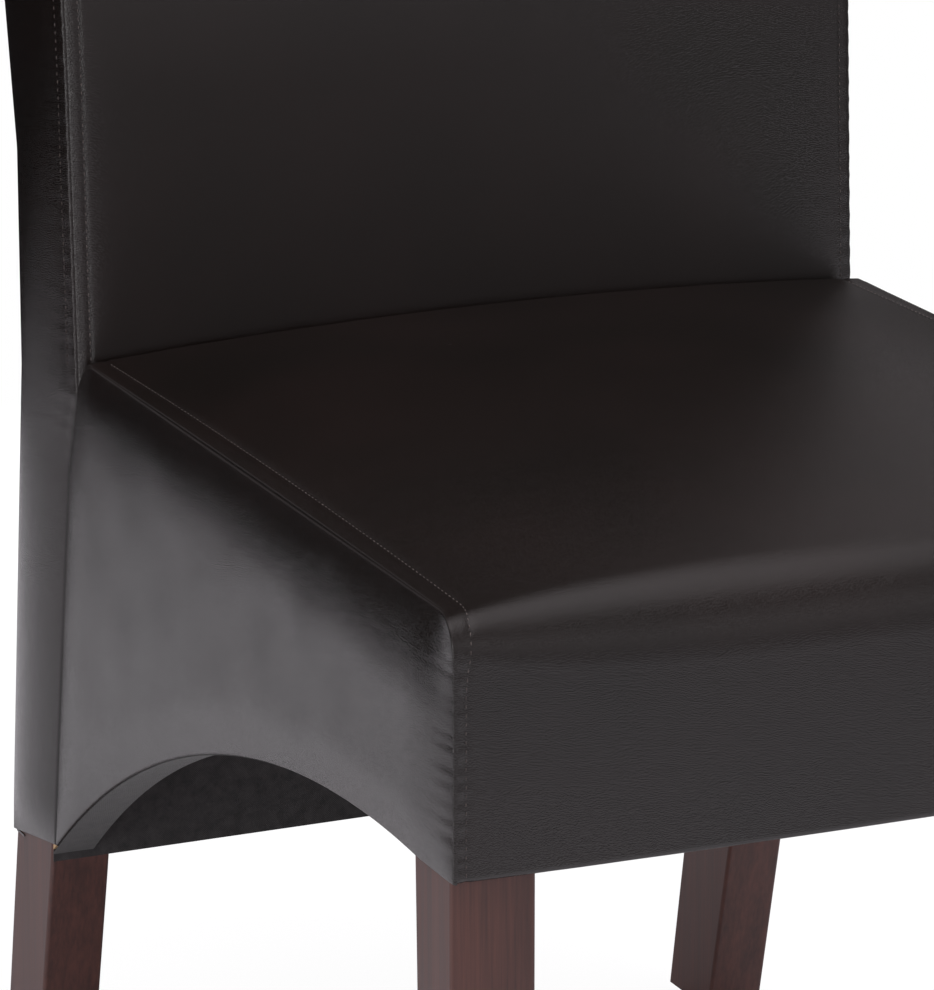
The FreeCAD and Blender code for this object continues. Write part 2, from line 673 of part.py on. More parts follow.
def dust_cover():
    """Thin black cloth that closes the underside of the seat between the rails."""
    body = new_body("dust_cover", middle_place())
    wide = "half_front - side_slope * (%s) - (%s)"
    rear = below_lumbar("post_front - post_gap - rail_thickness - block_gap", "cover_bottom + wood_inset")
    half = ((wide % (BEHIND_LEG, LEG_FACE), FRONT_FACE), (wide % (BEHIND_LEG, LEG_FACE), BEHIND_LEG),
            (wide % (BEHIND_LEG, RAIL_FACE), BEHIND_LEG), (wide % (rear, RAIL_FACE), rear))
    corners = half + tuple(("-(%s)" % across, depth) for across, depth in reversed(half))
    add_pad(body, "XY_Plane", corners, "lining_thickness", "cover_bottom + wood_inset")
    return body


def rear_lining():
    """Dark cloth on the inner face of the board between the rear legs."""
    low, high = "hem_height + cover_thickness", "cover_bottom - joint_gap"
    line = "post_rear + (lumbar_low - (%s)) * tan(apron_rake) - apron_thickness - cover_gap"
    corners = ((line % low + " - lining_thickness", low), (line % low, low),
               (line % high, high), (line % high + " - lining_thickness", high))
    return cross_piece("rear_lining", corners, inside_posts(line % low) + " - lining_thickness")


def post_lining(side, word):
    """Dark cloth round the front and the inner face of a rear post, from the hem to the seat."""
    body = new_body("post_lining_" + word, side_place(side))
    low, high = "hem_front", "cover_bottom"
    front = "post_front + (lumbar_low - (%s)) * tan(apron_rake) - cover_gap / 2"
    corners = ((front % low + " - lining_thickness", low), (front % low, low),
               (front % high, high), (front % high + " - lining_thickness", high))
    side_pad(body, side, corners, "wood_inset", "post_width + cover_gap / 2 + lining_thickness")
    inner_rear = "post_rear + (lumbar_low - (%s)) * tan(apron_rake) - apron_thickness - 2 * lining_thickness"
    corners = ((front % low + " - lining_thickness", low), (inner_rear % low, low),
               (inner_rear % high, high), (front % high + " - lining_thickness", high))
    side_pad(body, side, corners, "wood_inset + post_width + cover_gap / 2", "lining_thickness")
    return body


# Seat upholstery

SEAT_STATIONS = (0, 0.3, 0.5, 0.65, 0.78, 0.88, 0.95, 1)
BACK_STATIONS = (0, 0.45, 0.75, 0.9, 0.94, 0.97, 0.99, 1)


def stations(shares):
    """Shares of the half width from the left side to the right one."""
    return [-share for share in reversed(shares[1:])] + list(shares)


def section(share, inset, path):
    """Wire across one share of the half width, through lines and three-point arcs.

    The path holds (depth, height) corners, and an arc's middle is a corner marked with True.
    """
    points = [Vector(share * (half_width(corner[0]) - inset), corner[0], corner[1]) for corner in path]
    points.append(points[0])
    edges, index = [], 0
    while index < len(points) - 1:
        if index + 1 < len(path) and len(path[index + 1]) == 3:
            edges.append(Part.Arc(points[index], points[index + 1], points[index + 2]).toShape())
            index += 2
        else:
            edges.append(Part.LineSegment(points[index], points[index + 1]).toShape())
            index += 1
    return Part.Wire(edges)


def rounded(before, corner, after, radius):
    """Three path entries that round a corner between two straight runs with a tangent arc."""
    first = Vector(before[0] - corner[0], before[1] - corner[1], 0).normalize()
    last = Vector(after[0] - corner[0], after[1] - corner[1], 0).normalize()
    half = first.getAngle(last) / 2
    reach = radius / math.tan(half)
    apex = (first + last).normalize() * (radius / math.sin(half) - radius)
    here = Vector(corner[0], corner[1], 0)
    start, middle, end = here + first * reach, here + apex, here + last * reach
    return [(start.x, start.y), (middle.x, middle.y, True), (end.x, end.y)]


def loft(shares, inset, path_at):
    """Solid through the sections at the given shares of the half width, closest where it curves most."""
    wires = [section(share, inset, path_at(share, inset)) for share in stations(shares)]
    return Part.makeLoft(wires, True, True)


def seat_path(share, inset):
    """Side view of the seat cushion at a share of the half width: face, roll, crowned top, rear."""
    fall = abs(share) ** 3.5
    front = -size("front_bow") * (1 - share ** 2) + inset
    floor = size("cover_bottom") + inset
    seam = size("seam_height") - inset
    roll = size("corner_roll") + (size("front_roll") - size("corner_roll")) * (1 - fall)
    front_top = seam + size("seat_crown") * 0.35 * (1 - fall)
    middle_top = seam + 1 + (size("seat_crown") - 1) * (1 - fall)
    rear_top = seam + size("rear_crown") * (1 - share ** 2)
    rear = size("knee_depth - face_crown - face_roll - panel_gap") - inset + size("face_crown") * share ** 2
    shoulder = rounded((front, floor), (front, front_top), (rear, front_top), roll)
    return ([(front, floor)] + shoulder
            + [((front + roll + rear) / 2, middle_top, True), (rear, rear_top), (rear, floor)])


def block(low, high):
    """Box between two corners, used to cut the upholstery."""
    return Part.makeBox(high.x - low.x, high.y - low.y, high.z - low.z, low)


def between_sides(inset):
    """Everything between the chair's two side planes, moved in by an inset."""
    reach, tall = 2 * size("seat_depth"), 2 * size("chair_height")
    ends = (-reach, reach)
    corners = [Vector(half_width(depth) - inset, depth, -tall) for depth in ends]
    corners += [Vector(-corner.x, corner.y, corner.z) for corner in reversed(corners)]
    return Part.Face(Part.makePolygon(corners + corners[:1])).extrude(Vector(0, 0, 2 * tall))


def make_seat():
    """Seat foam, front pad and the leather that runs over the top and down the front."""
    thick, inset = size("cover_thickness"), size("wood_inset")
    wide, far = size("seat_width_front"), 2 * size("seat_depth")
    low, top = size("cover_bottom"), size("foam_bottom")
    outer = loft(SEAT_STATIONS, 0, seat_path)
    hollow = loft(SEAT_STATIONS, thick, seat_path)
    opening = block(Vector(-wide, size("hem_return"), -far), Vector(wide, far, top))
    shell = outer.cut(hollow).common(between_sides(thick + size("cover_gap"))).cut(opening)
    inside_legs = size("half_front - wood_inset - leg_width - side_slope * leg_rear - joint_gap")
    for edge in (-wide, inside_legs):
        notch = block(Vector(edge, size("leg_setback - skew - joint_gap"), -far),
                      Vector(edge + wide - inside_legs * (edge < 0), far, low + size("wood_inset")))
        shell = shell.cut(notch)
    solid_node("seat_cover", shell)
    filling = loft(SEAT_STATIONS, inset, seat_path).common(between_sides(inset))
    solid_node("seat_foam", filling.common(block(Vector(-wide, -wide, top), Vector(wide, far, far))))
    front_reach = size("leg_setback - skew - cover_gap")
    pad = block(Vector(-wide, -wide, low), Vector(wide, front_reach, top - size("cover_gap")))
    solid_node("front_pad", filling.common(pad))


def seat_side_panel(side, word):
    """Leather side panel with the arched lower edge and its strip turned under the rail."""
    body = new_body("seat_side_panel_" + word, side_place(side))
    rear = "band_hem - panel_gap"
    tail = arch_height(rear, "arch_radius")
    top_rear = "knee_depth - panel_gap"
    front_top = "seam_height - corner_roll"
    corners = (("0", "cover_bottom"), ("arch_start", "cover_bottom", "arch_radius", -1), (rear, tail),
               ("gap_bend - panel_gap", "gap_bend_height"), (top_rear, "knee_height", "panel_corner", 1),
               (top_rear + " - panel_corner", "seam_height"),
               ("corner_roll", "seam_height", "corner_roll", 1), ("0", front_top))
    side_pad(body, side, corners, "0", "cover_thickness")
    outer, start, finish = "arch_radius + cover_thickness", "leg_rear + joint_gap", rear
    strip = ((start, arch_height(start, "arch_radius"), "arch_radius", -1),
             (finish, tail), (finish, arch_height(finish, outer), outer, 1),
             (start, arch_height(start, outer)))
    side_pad(body, side, strip, "0", "hem_return")
    return body


# Back upholstery


def lean(angle):
    """Depth gained for each millimetre of height by a surface that leans by an angle."""
    return math.tan(math.radians(size(angle)))


def back_path(share, inset):
    """Side view of the back at a share of the half width: hem, face, top roll, rear and hem."""
    drop = size("face_crown") * share ** 2 + size("face_roll") * abs(share) ** 24
    face_base = size("seat_depth") + drop + inset
    bend = size("face_bend_height")
    seat_level = size("seam_height")
    top = size("chair_height") - inset

    def face(height):
        low = face_base + (height - seat_level) * lean("face_lean_low")
        high = face_base + (bend - seat_level) * lean("face_lean_low")
        return low if height <= bend else high + (height - bend) * lean("face_lean_high")

    rear = size("cover_rear") - inset

    def rear_at(height):
        if height > size("lumbar_high"):
            return rear + (height - size("lumbar_high")) * lean("back_lean")
        return rear + max(size("lumbar_low") - height, 0) * lean("apron_rake")

    hem = size("hem_height") + inset
    hem_lead = (size("band_hem") + inset + drop - size("face_crown + face_roll"), size("hem_front") + inset)
    knee = (face(size("knee_height")), size("knee_height"))
    lead_bend = (size("gap_bend") + inset + drop - size("face_crown + face_roll"), size("gap_bend_height"))
    face_bend = (face(bend), bend)
    face_top = (face(top), top)
    rear_top = (rear_at(top), top)
    high_bend = (rear, size("lumbar_high"))
    low_bend = (rear, size("lumbar_low"))
    hem_rear = (rear_at(hem), hem)
    radius = size("post_bend")
    return ([hem_lead, lead_bend, knee] + rounded(knee, face_bend, face_top, size("face_bend"))
            + rounded(face_bend, face_top, rear_top, size("top_roll") - inset)
            + rounded(face_top, rear_top, high_bend, size("rear_roll") - inset)
            + rounded(rear_top, high_bend, low_bend, radius)
            + rounded(high_bend, low_bend, hem_rear, radius) + [hem_rear])


def side_view_prism(corners):
    """Side view through corners of the sheet's expressions, carried across the whole chair."""
    wide = size("seat_width_front")
    points = [Vector(-wide, size(depth), size(height)) for depth, height in corners]
    return Part.Face(Part.makePolygon(points + points[:1])).extrude(Vector(2 * wide, 0, 0))


def make_back():
    """Back foam, the leather over the face and the top, the rear leather and the side bands."""
    thick, inset, gap = size("cover_thickness"), size("wood_inset"), size("cover_gap")
    wide, far = size("seat_width_front"), 2 * size("seat_depth")
    outer = loft(BACK_STATIONS, 0, back_path)
    hollow = loft(BACK_STATIONS, thick, back_path)
    shell = outer.cut(hollow).common(between_sides(thick + gap))
    rear_skin = "cover_rear + %s - cover_thickness"
    behind = (("2 * seat_depth", "hem_height"), (rear_skin % "hem_shift", "hem_height"),
              (rear_skin % "0", "lumbar_low"), (rear_skin % "0", "lumbar_high"),
              (rear_skin % "(2 * chair_height - lumbar_high) * tan(back_lean)", "2 * chair_height"),
              ("4 * seat_depth", "2 * chair_height"))
    rear_zone = side_view_prism(behind)
    tucked = block(Vector(-wide, -far, -far), Vector(wide, far, size("foam_bottom")))
    solid_node("back_front_cover", shell.cut(rear_zone).cut(tucked))
    hem_turn = block(Vector(-wide, -far, -far), Vector(wide, size("post_rear - apron_thickness"), size("cover_bottom")))
    rear_band = shell.common(rear_zone).fuse(shell.common(hem_zone())).removeSplitter()
    solid_node("back_rear_cover", rear_band.cut(hem_turn))
    posts = POST_FRONT[1:]
    shift = "%s - webbing_thickness - skew - 2 * cover_gap"
    frame = [("4 * seat_depth", "hem_height")] + [(shift % depth, height) for depth, height in posts]
    frame.append(("4 * seat_depth", "post_top"))
    filling = loft(BACK_STATIONS, inset, back_path).common(between_sides(inset)).cut(rear_zone)
    solid_node("back_foam", filling.cut(side_view_prism(frame)).cut(tucked))
    for side, word in SIDES:
        face = Part.Face(section(side, 0, back_path(side, 0)))
        inward = side_place(side).Rotation.multVec(Vector(-side, 0, 0))
        solid_node("back_side_band_" + word, face.extrude(inward * thick))


def hem_zone():
    """Space round the rear cover's strip turned under the board between the rear legs."""
    reach = half_width(size("post_hem_rear")) - size("wood_inset + post_width + joint_gap")
    low = Vector(-reach, size("post_hem_rear - apron_thickness"), size("hem_height - cover_thickness"))
    return block(low, Vector(reach, 2 * size("seat_depth"), size("hem_height + cover_thickness")))


# The whole chair

wooden = [front_rail(), rear_rail(), back_bottom_rail(), rear_apron(),
          leaning_rail("back_top_rail", "post_top - rail_height", "post_top"),
          leaning_rail("back_middle_rail", "middle_rail_top - webbing_width", "middle_rail_top")]
for chair_side, side_word in SIDES:
    wooden += [front_leg(chair_side, side_word), rear_post(chair_side, side_word),
               side_rail(chair_side, side_word)]
    post_lining(chair_side, side_word)
    seat_side_panel(chair_side, side_word)
wooden += corner_blocks()
drill_tool = drillings()
for piece in wooden:
    bores(piece, drill_tool)
make_fasteners()
make_webbing()
dust_cover()
rear_lining()
make_seat()
make_back()
doc.recompute()

broken = [item.Name for item in doc.Objects if {"Invalid", "Error"} & set(item.State)]
if broken:
    raise RuntimeError("failed objects: " + ", ".join(broken))
nodes = [item for item in doc.Objects
         if item.isDerivedFrom("Part::Feature") and item is not drill_tool and not item.InList
         and not item.isDerivedFrom("Part::Datum")]
os.makedirs("parts", exist_ok=True)
for node in nodes:
    if node.Shape.isNull() or not node.Shape.isValid():
        raise RuntimeError("bad shape: " + node.Label)
for node in nodes:
    node.Shape.exportStep("parts/%s.step" % node.Label)
    print(node.Label, len(node.Shape.Solids), round(node.Shape.Volume))
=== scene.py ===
"""Dining chair in dark leather: the visible pieces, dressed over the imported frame.

Everything is in metres in the frame's axes: X across the chair, Y from front to back, Z up.
A depth runs back from the front of the seat, and a height runs up from the floor.
"""

import json
import logging
import math
from dataclasses import dataclass
from enum import Enum
from typing import Any

import bpy
import numpy as np
from mathutils import Matrix, Vector


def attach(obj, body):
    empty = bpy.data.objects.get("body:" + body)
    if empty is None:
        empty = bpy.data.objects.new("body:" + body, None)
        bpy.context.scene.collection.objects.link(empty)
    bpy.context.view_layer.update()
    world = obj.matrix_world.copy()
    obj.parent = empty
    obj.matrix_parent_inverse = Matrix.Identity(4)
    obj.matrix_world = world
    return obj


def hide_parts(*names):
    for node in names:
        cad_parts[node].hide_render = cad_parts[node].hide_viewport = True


Array = np.ndarray
LOG = logging.getLogger("chair")
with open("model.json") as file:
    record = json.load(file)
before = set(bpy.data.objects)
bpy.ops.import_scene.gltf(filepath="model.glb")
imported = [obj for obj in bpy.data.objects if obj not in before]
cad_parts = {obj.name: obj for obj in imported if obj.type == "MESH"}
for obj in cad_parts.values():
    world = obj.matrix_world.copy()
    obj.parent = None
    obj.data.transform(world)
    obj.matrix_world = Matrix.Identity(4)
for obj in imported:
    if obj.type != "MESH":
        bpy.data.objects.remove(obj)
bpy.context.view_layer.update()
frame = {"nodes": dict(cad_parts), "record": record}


class Side(Enum):
    """Side of the chair, as someone looking at its front sees it."""

    LEFT = -1
    RIGHT = 1


# Outlines that the covers share


def unit(vectors: Array) -> Array:
    """Vectors divided by their lengths."""
    return vectors / np.linalg.norm(vectors, axis=-1, keepdims=True)


def fillet(before: Array, corner: Array, after: Array, radius: Array, count: int) -> Array:
    """Points of the arc that rounds a corner and is tangent to both of its straight runs.

    The arc's centre lies on the corner's bisector at radius / sin(half angle), and the points
    turn evenly round it from one tangent point to the other.

    Args:
        before: Points on the first run, shape (n, 2).
        corner: Corners between the runs, shape (n, 2).
        after: Points on the second run, shape (n, 2).
        radius: Radius of each arc, shape (n,).
        count: Number of points along an arc.

    Returns:
        Arc points, shape (n, count, 2).
    """
    first, last = unit(before - corner), unit(after - corner)
    half = np.arccos(np.clip((first * last).sum(-1), -1, 1)) / 2
    reach = (radius / np.tan(half))[:, None]
    centre = corner + unit(first + last) * (radius / np.sin(half))[:, None]
    begin, end = corner + first * reach - centre, corner + last * reach - centre
    sweep = (math.pi - 2 * half)[:, None]
    turn = np.linspace(0, 1, count)
    near, far = np.sin((1 - turn) * sweep) / np.sin(sweep), np.sin(turn * sweep) / np.sin(sweep)
    return centre[:, None] + near[..., None] * begin[:, None] + far[..., None] * end[:, None]


def resample(path: Array, shares: Array) -> Array:
    """Points at given shares of a path's length.

    Args:
        path: Corner points, shape (n, 2) or (n, 3).
        shares: Shares of the length from 0 to 1.

    Returns:
        One point per share.
    """
    steps = np.linalg.norm(np.diff(path, axis=0), axis=1)
    along = np.concatenate([[0], np.cumsum(steps)])
    return np.stack([np.interp(shares * along[-1], along, axis) for axis in path.T], axis=-1)


EDGE = np.array([0, 0.3, 0.8, 1.5, 2.5, 4, 6, 8.5, 11.5, 15]) / 1000


def stations(length: float, spacing: float) -> Array:
    """Shares of a length, close together at both ends and evenly spaced between them."""
    count = max(2, round((length - 2 * EDGE[-1]) / spacing) + 1)
    middle = np.linspace(EDGE[-1], length - EDGE[-1], count)
    return np.concatenate([EDGE[:-1], middle, length - EDGE[-2::-1]]) / length


def patch(low: Array, high: Array, start: Array, finish: Array) -> Array:
    """Grid that fills four edge curves: the sum of both straight blends less the corners' blend.

    Args:
        low: Lower edge from start to finish, shape (n, 2).
        high: Upper edge from start to finish, shape (n, 2).
        start: Edge from low to high at the beginning, shape (m, 2).
        finish: Edge from low to high at the end, shape (m, 2).

    Returns:
        Grid of points, shape (m, n, 2).
    """
    across = resample_shares(low)[None, :, None]
    up = resample_shares(start)[:, None, None]
    lines = (1 - up) * low[None] + up * high[None]
    columns = (1 - across) * start[:, None] + across * finish[:, None]
    corners = ((1 - up) * ((1 - across) * low[0] + across * low[-1])
               + up * ((1 - across) * high[0] + across * high[-1]))
    return lines + columns - corners


def resample_shares(path: Array) -> Array:
    """Share of the path's length at each of its points."""
    along = np.concatenate([[0], np.cumsum(np.linalg.norm(np.diff(path, axis=0), axis=1))])
    return along / along[-1]


def distance_to(points: Array, path: Array) -> Array:
    """Distance of each point of a grid from a path's runs."""
    begin, end = path[:-1], path[1:]
    run = end - begin
    offset = points[..., None, :] - begin
    share = np.clip((offset * run).sum(-1) / (run * run).sum(-1), 0, 1)
    return np.linalg.norm(offset - share[..., None] * run, axis=-1).min(-1)


def rounding(distance: Array, radius: float) -> Array:
    """How far a surface turns in at a distance from its edge, on a quarter circle."""
    inside = np.clip(1 - distance / radius, 0, 1)
    return radius * (1 - np.sqrt(1 - inside ** 2))


def ripple(places: Array, scale: float, seed: int) -> Array:
    """Smooth uneven values between about -1 and 1: eight sine waves in seeded directions.

    Args:
        places: Points, shape (..., k).
        scale: Wavelength of the slowest wave.
        seed: Number that fixes the waves.

    Returns:
        One value per point.
    """
    random = np.random.default_rng(seed)
    total = np.zeros(places.shape[:-1])
    for _ in range(8):
        wave = random.normal(size=places.shape[-1])
        wave *= 2 * math.pi / (scale * random.uniform(0.45, 1)) / np.linalg.norm(wave)
        total += np.sin(places @ wave + random.uniform(0, 2 * math.pi))
    return total / 4


STITCH_DENT = 0.0005


def ramp(distance: Array, reach: float) -> Array:
    """Rise from 0 at an edge to 1 at a reach from it, level at the end."""
    return 1 - np.clip(1 - distance / reach, 0, 1) ** 2


def smooth(share: Array) -> Array:
    """Share from 0 to 1, made level at both ends."""
    return share ** 2 * (3 - 2 * share)


def dent(distance: Array, row: Array | float, width: float) -> Array:
    """Furrow that stitches pull in: a bell curve across their row beside the seam."""
    return STITCH_DENT * np.exp(-((distance - row) / width) ** 2)


def gathers(height: Array, pitch: float, sway: float, scale: float, seed: int) -> Array:
    """Folds across an upright seam, from 0 to 2: a sine wave along it, swayed by a ripple."""
    return np.sin(2 * math.pi * height / pitch + sway * ripple(height[..., None], scale, seed)) + 1


def both_sides(away: Array, half: float) -> Array:
    """Shares of a half width from -1 to 1, at distances from its two edges."""
    return np.concatenate([away / half - 1, (1 - away / half)[-2::-1]])


def beside_edge(values: Array, away: Array, wanted: Array | float) -> Array:
    """Values where each row of a grid comes to a distance from its first edge.

    The columns on either side of that distance are blended in proportion.

    Args:
        values: Grid of vectors, shape (m, n, 3), whose columns begin at the edge.
        away: Distance of each place from the edge, shape (m, n) or (n,).
        wanted: Distance to find, one for all rows or one for each.

    Returns:
        One vector per row, shape (m, 3).
    """
    rows, half = np.arange(len(values)), values.shape[1] // 2
    spans = np.broadcast_to(away, values.shape[:2])[:, :half]
    wanted = np.broadcast_to(wanted, len(values))
    after = np.clip((spans < wanted[:, None]).sum(1), 1, half - 1)
    near, far = spans[rows, after - 1], spans[rows, after]
    share = np.clip((wanted - near) / (far - near), 0, 1)[:, None]
    return (1 - share) * values[rows, after - 1] + share * values[rows, after]


@dataclass(frozen=True)
class Outline:
    """Lines of the chair that several covers follow, with the solids' own sizes."""

    half_front: float = 0.230
    half_rear: float = 0.224
    seat_depth: float = 0.488
    centre: float = 0.331443
    cover_bottom: float = 0.337
    seam: float = 0.459
    foam_bottom: float = 0.4154
    hem: float = 0.166
    hem_front: float = 0.17852
    band_hem: float = 0.54427
    arch_start: float = 0.040
    arch_radius: float = 0.740
    gap: float = 0.001
    knee: tuple[float, float] = (0.49699, 0.439)
    gap_bend: tuple[float, float] = (0.50975, 0.399)
    leather: float = 0.0012
    face_bend: float = 0.650
    face_low: float = math.tan(math.radians(2.9))
    face_high: float = math.tan(math.radians(13.2))
    top: float = 0.990
    cover_rear: float = 0.583
    lumbar_low: float = 0.435
    lumbar_high: float = 0.552
    apron_rake: float = math.tan(math.radians(6.4))
    back_lean: float = math.tan(math.radians(11.3))
    frame_front: float = 0.5235
    corner_inset: float = 0.0006
    inset_gain: float = 0.0052
    inset_loss: float = 0.0034
    inset_reach: float = 0.028

    @property
    def taper(self) -> float:
        """Half width lost for each metre of depth."""
        return (self.half_front - self.half_rear) / self.seat_depth

    def half_width(self, depth: Array) -> Array:
        """Half of the width over the covers at a depth."""
        return self.half_front - self.taper * depth

    def place(self, across: Array, depth: Array, height: Array) -> Array:
        """Points of the frame from distances across, back and up."""
        return np.stack(np.broadcast_arrays(across, depth - self.centre, height), axis=-1)

    def on_side(self, side: Side, inward: Array, depth: Array, height: Array) -> Array:
        """Points of the frame from distances behind the side cover's slanted plane."""
        slant = math.atan(self.taper)
        across = inward * math.cos(slant) + depth * math.sin(slant) - self.half_front
        back = depth * math.cos(slant) - inward * math.sin(slant)
        return self.place(-side.value * across, back, height)

    def seam_inset(self, depth: Array) -> Array:
        """Top seam inboard of the side plane: least at the front corner, most close behind it."""
        near = np.clip(depth / self.inset_reach, 0, 1)
        along = np.clip(depth / self.seat_depth, 0, 1)
        return self.corner_inset + (self.inset_gain - self.inset_loss * along) * smooth(near)

    def arch(self, depth: Array, radius: float) -> Array:
        """Height of the arch under the side panel: a circle through its two lower corners."""
        end = self.band_hem - self.gap
        run, rise = end - self.arch_start, self.cover_bottom - self.hem_front
        chord = math.hypot(run, rise)
        drop = math.sqrt(self.arch_radius ** 2 - chord ** 2 / 4)
        middle = (end + self.arch_start) / 2 - drop * rise / chord
        low = (self.cover_bottom + self.hem_front) / 2 - drop * run / chord
        return low + np.sqrt(radius ** 2 - (depth - middle) ** 2)

    def face(self, height: Array) -> Array:
        """Depth of the back's face, at its middle, over the two leans that meet at the bend."""
        low = (np.minimum(height, self.face_bend) - self.seam) * self.face_low
        return self.seat_depth + low + np.maximum(height - self.face_bend, 0) * self.face_high

    def rear(self, height: Array) -> Array:
        """Depth of the rear cover: raked below the seat, upright, then leaning."""
        return (self.cover_rear + np.maximum(height - self.lumbar_high, 0) * self.back_lean
                + np.maximum(self.lumbar_low - height, 0) * self.apron_rake)


FORM = Outline()


# Meshes

SHARP_ANGLE = math.radians(60)


def shell(outer: Array, inner: Array) -> tuple[Array, Array]:
    """Closed shell between two matching grids, with its faces pointing outwards.

    Args:
        outer: Visible surface, shape (rows, columns, 3).
        inner: Surface behind it, of the same shape.

    Returns:
        Vertices, shape (n, 3), and quads, shape (m, 4).
    """
    rows, columns = outer.shape[:2]
    index = np.arange(rows * columns).reshape(rows, columns)
    far = rows * columns
    quads = np.stack([index[:-1, :-1], index[:-1, 1:], index[1:, 1:], index[1:, :-1]], -1).reshape(-1, 4)
    rim = np.concatenate([index[0, :-1], index[:-1, -1], index[-1, :0:-1], index[:0:-1, 0]])
    after = np.roll(rim, -1)
    walls = np.stack([after, rim, rim + far, after + far], -1)
    points = np.concatenate([outer.reshape(-1, 3), inner.reshape(-1, 3)])
    faces = np.concatenate([quads, quads[:, ::-1] + far, walls])
    return points, outward(points, faces)


def outward(points: Array, faces: Array) -> Array:
    """The faces of a closed shell, turned round where its signed volume is negative."""
    a, b, c, d = (points[faces[:, corner]] for corner in range(4))
    volume = (np.cross(a, b) * c).sum() + (np.cross(a, c) * d).sum()
    return faces if volume > 0 else faces[:, ::-1]


def surface_normals(grid: Array) -> Array:
    """Unit normals of a grid, from the cross product of its two directions."""
    return unit(np.cross(np.gradient(grid, axis=1), np.gradient(grid, axis=0)))


@dataclass
class Build:
    """Mesh of one piece, gathered from closed shells."""

    name: str

    def __post_init__(self) -> None:
        """Start with no shells."""
        self.points: list[Array] = []
        self.faces: list[Array] = []
        self.values: list[Array] = []

    def add(self, points: Array, faces: Array, value: Array | float = 0.0) -> None:
        """Add a closed shell, with a value at each point for the finish to read."""
        start = sum(len(part) for part in self.points)
        self.points.append(points)
        self.faces.append(faces + start)
        self.values.append(np.broadcast_to(value, len(points)))

    def make(self, finish: bpy.types.Material, slot: str) -> bpy.types.Object:
        """Make the object, smooth except where its faces meet at more than SHARP_ANGLE.

        Args:
            finish: Material of the whole piece.
            slot: Material slot of the record that it belongs to; not used.

        Returns:
            The new object, riding on the chair.
        """
        mesh = bpy.data.meshes.new(self.name)
        faces = np.concatenate(self.faces)
        mesh.from_pydata(np.concatenate(self.points).tolist(), [], faces.tolist())
        mask = mesh.attributes.new("zone", "FLOAT", "POINT")
        mask.data.foreach_set("value", np.concatenate(self.values).astype(np.float32))
        mesh.shade_smooth()
        mesh.set_sharp_from_angle(angle=SHARP_ANGLE)
        mesh.materials.append(finish)
        piece = bpy.data.objects.new(self.name, mesh)
        bpy.context.scene.collection.objects.link(piece)
        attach(piece, "root")
        LOG.info("%s: %d points, %d faces", self.name, len(mesh.vertices), len(faces))
        return piece


# Finishes


class Graph:
    """Node tree of one material, with short calls for what the finishes need."""

    def __init__(self, name: str) -> None:
        """Make the material and find its shader."""
        self.material = bpy.data.materials.new(name)
        self.material.use_nodes = True
        self.tree = self.material.node_tree
        self.shader = self.tree.nodes["Principled BSDF"]
        self.object = self.tree.nodes.new("ShaderNodeTexCoord").outputs["Object"]

    def node(self, kind: str, inputs: dict[str, Any] | None = None, **settings: Any) -> bpy.types.Node:
        """Add a node, set its properties, and link or set its inputs by name."""
        made = self.tree.nodes.new("ShaderNode" + kind)
        for key, value in settings.items():
            setattr(made, key, value)
        for key, value in (inputs or {}).items():
            self.feed(made.inputs[key], value)
        return made

    def feed(self, socket: bpy.types.NodeSocket, value: Any) -> None:
        """Link a socket to an output, or set it to a constant."""
        if isinstance(value, bpy.types.NodeSocket):
            self.tree.links.new(value, socket)
        else:
            socket.default_value = value

    def math(self, operation: str, first: Any, second: Any = 0.0) -> bpy.types.NodeSocket:
        """Result of a Math node."""
        made = self.node("Math", operation=operation)
        self.feed(made.inputs[0], first)
        self.feed(made.inputs[1], second)
        return made.outputs[0]

    def noise(self, scale: float, detail: float = 3.0, vector: Any = None, rough: float = 0.5) -> Any:
        """Value of a noise texture on Object coordinates, or on a vector."""
        inputs = {"Vector": vector or self.object, "Scale": scale, "Detail": detail, "Roughness": rough}
        return self.node("TexNoise", inputs).outputs["Fac"]

    def stretched(self, scale: tuple[float, float, float],
                  turn: tuple[float, float, float] = (0, 0, 0)) -> Any:
        """Object coordinates turned and then stretched."""
        inputs = {"Vector": self.object, "Scale": scale, "Rotation": turn}
        return self.node("Mapping", inputs).outputs["Vector"]

    def shades(self, value: Any, stops: tuple[tuple[float, tuple[float, float, float]], ...]) -> Any:
        """Colour ramp through stops of position and sRGB colour."""
        ramp = self.node("ValToRGB", {"Fac": value})
        elements = ramp.color_ramp.elements
        while len(elements) < len(stops):
            elements.new(0.5)
        for element, (position, colour) in zip(elements, stops):
            element.position = position
            element.color = (*linear(colour), 1)
        return ramp.outputs["Color"]

    def scaled(self, value: Any, low: float, high: float) -> Any:
        """A value from 0 to 1, moved to run from low to high."""
        return self.math("ADD", self.math("MULTIPLY", value, high - low), low)

    def bump(self, height: Any, strength: float, distance: float, below: Any = None) -> Any:
        """Normal bent by a height, over another bent normal where one is given."""
        inputs = {"Height": height, "Strength": strength, "Distance": distance}
        made = self.node("Bump", inputs)
        if below is not None:
            self.feed(made.inputs["Normal"], below)
        return made.outputs["Normal"]

    def set(self, **inputs: Any) -> bpy.types.Material:
        """Link or set the shader's inputs, written with underscores for spaces."""
        for key, value in inputs.items():
            self.feed(self.shader.inputs[key.replace("_", " ")], value)
        return self.material


def linear(colour: tuple[float, float, float]) -> tuple[float, ...]:
    """Linear light of an sRGB colour given from 0 to 255."""
    shares = [channel / 255 for channel in colour]
    return tuple(share / 12.92 if share < 0.04045 else ((share + 0.055) / 1.055) ** 2.4 for share in shares)


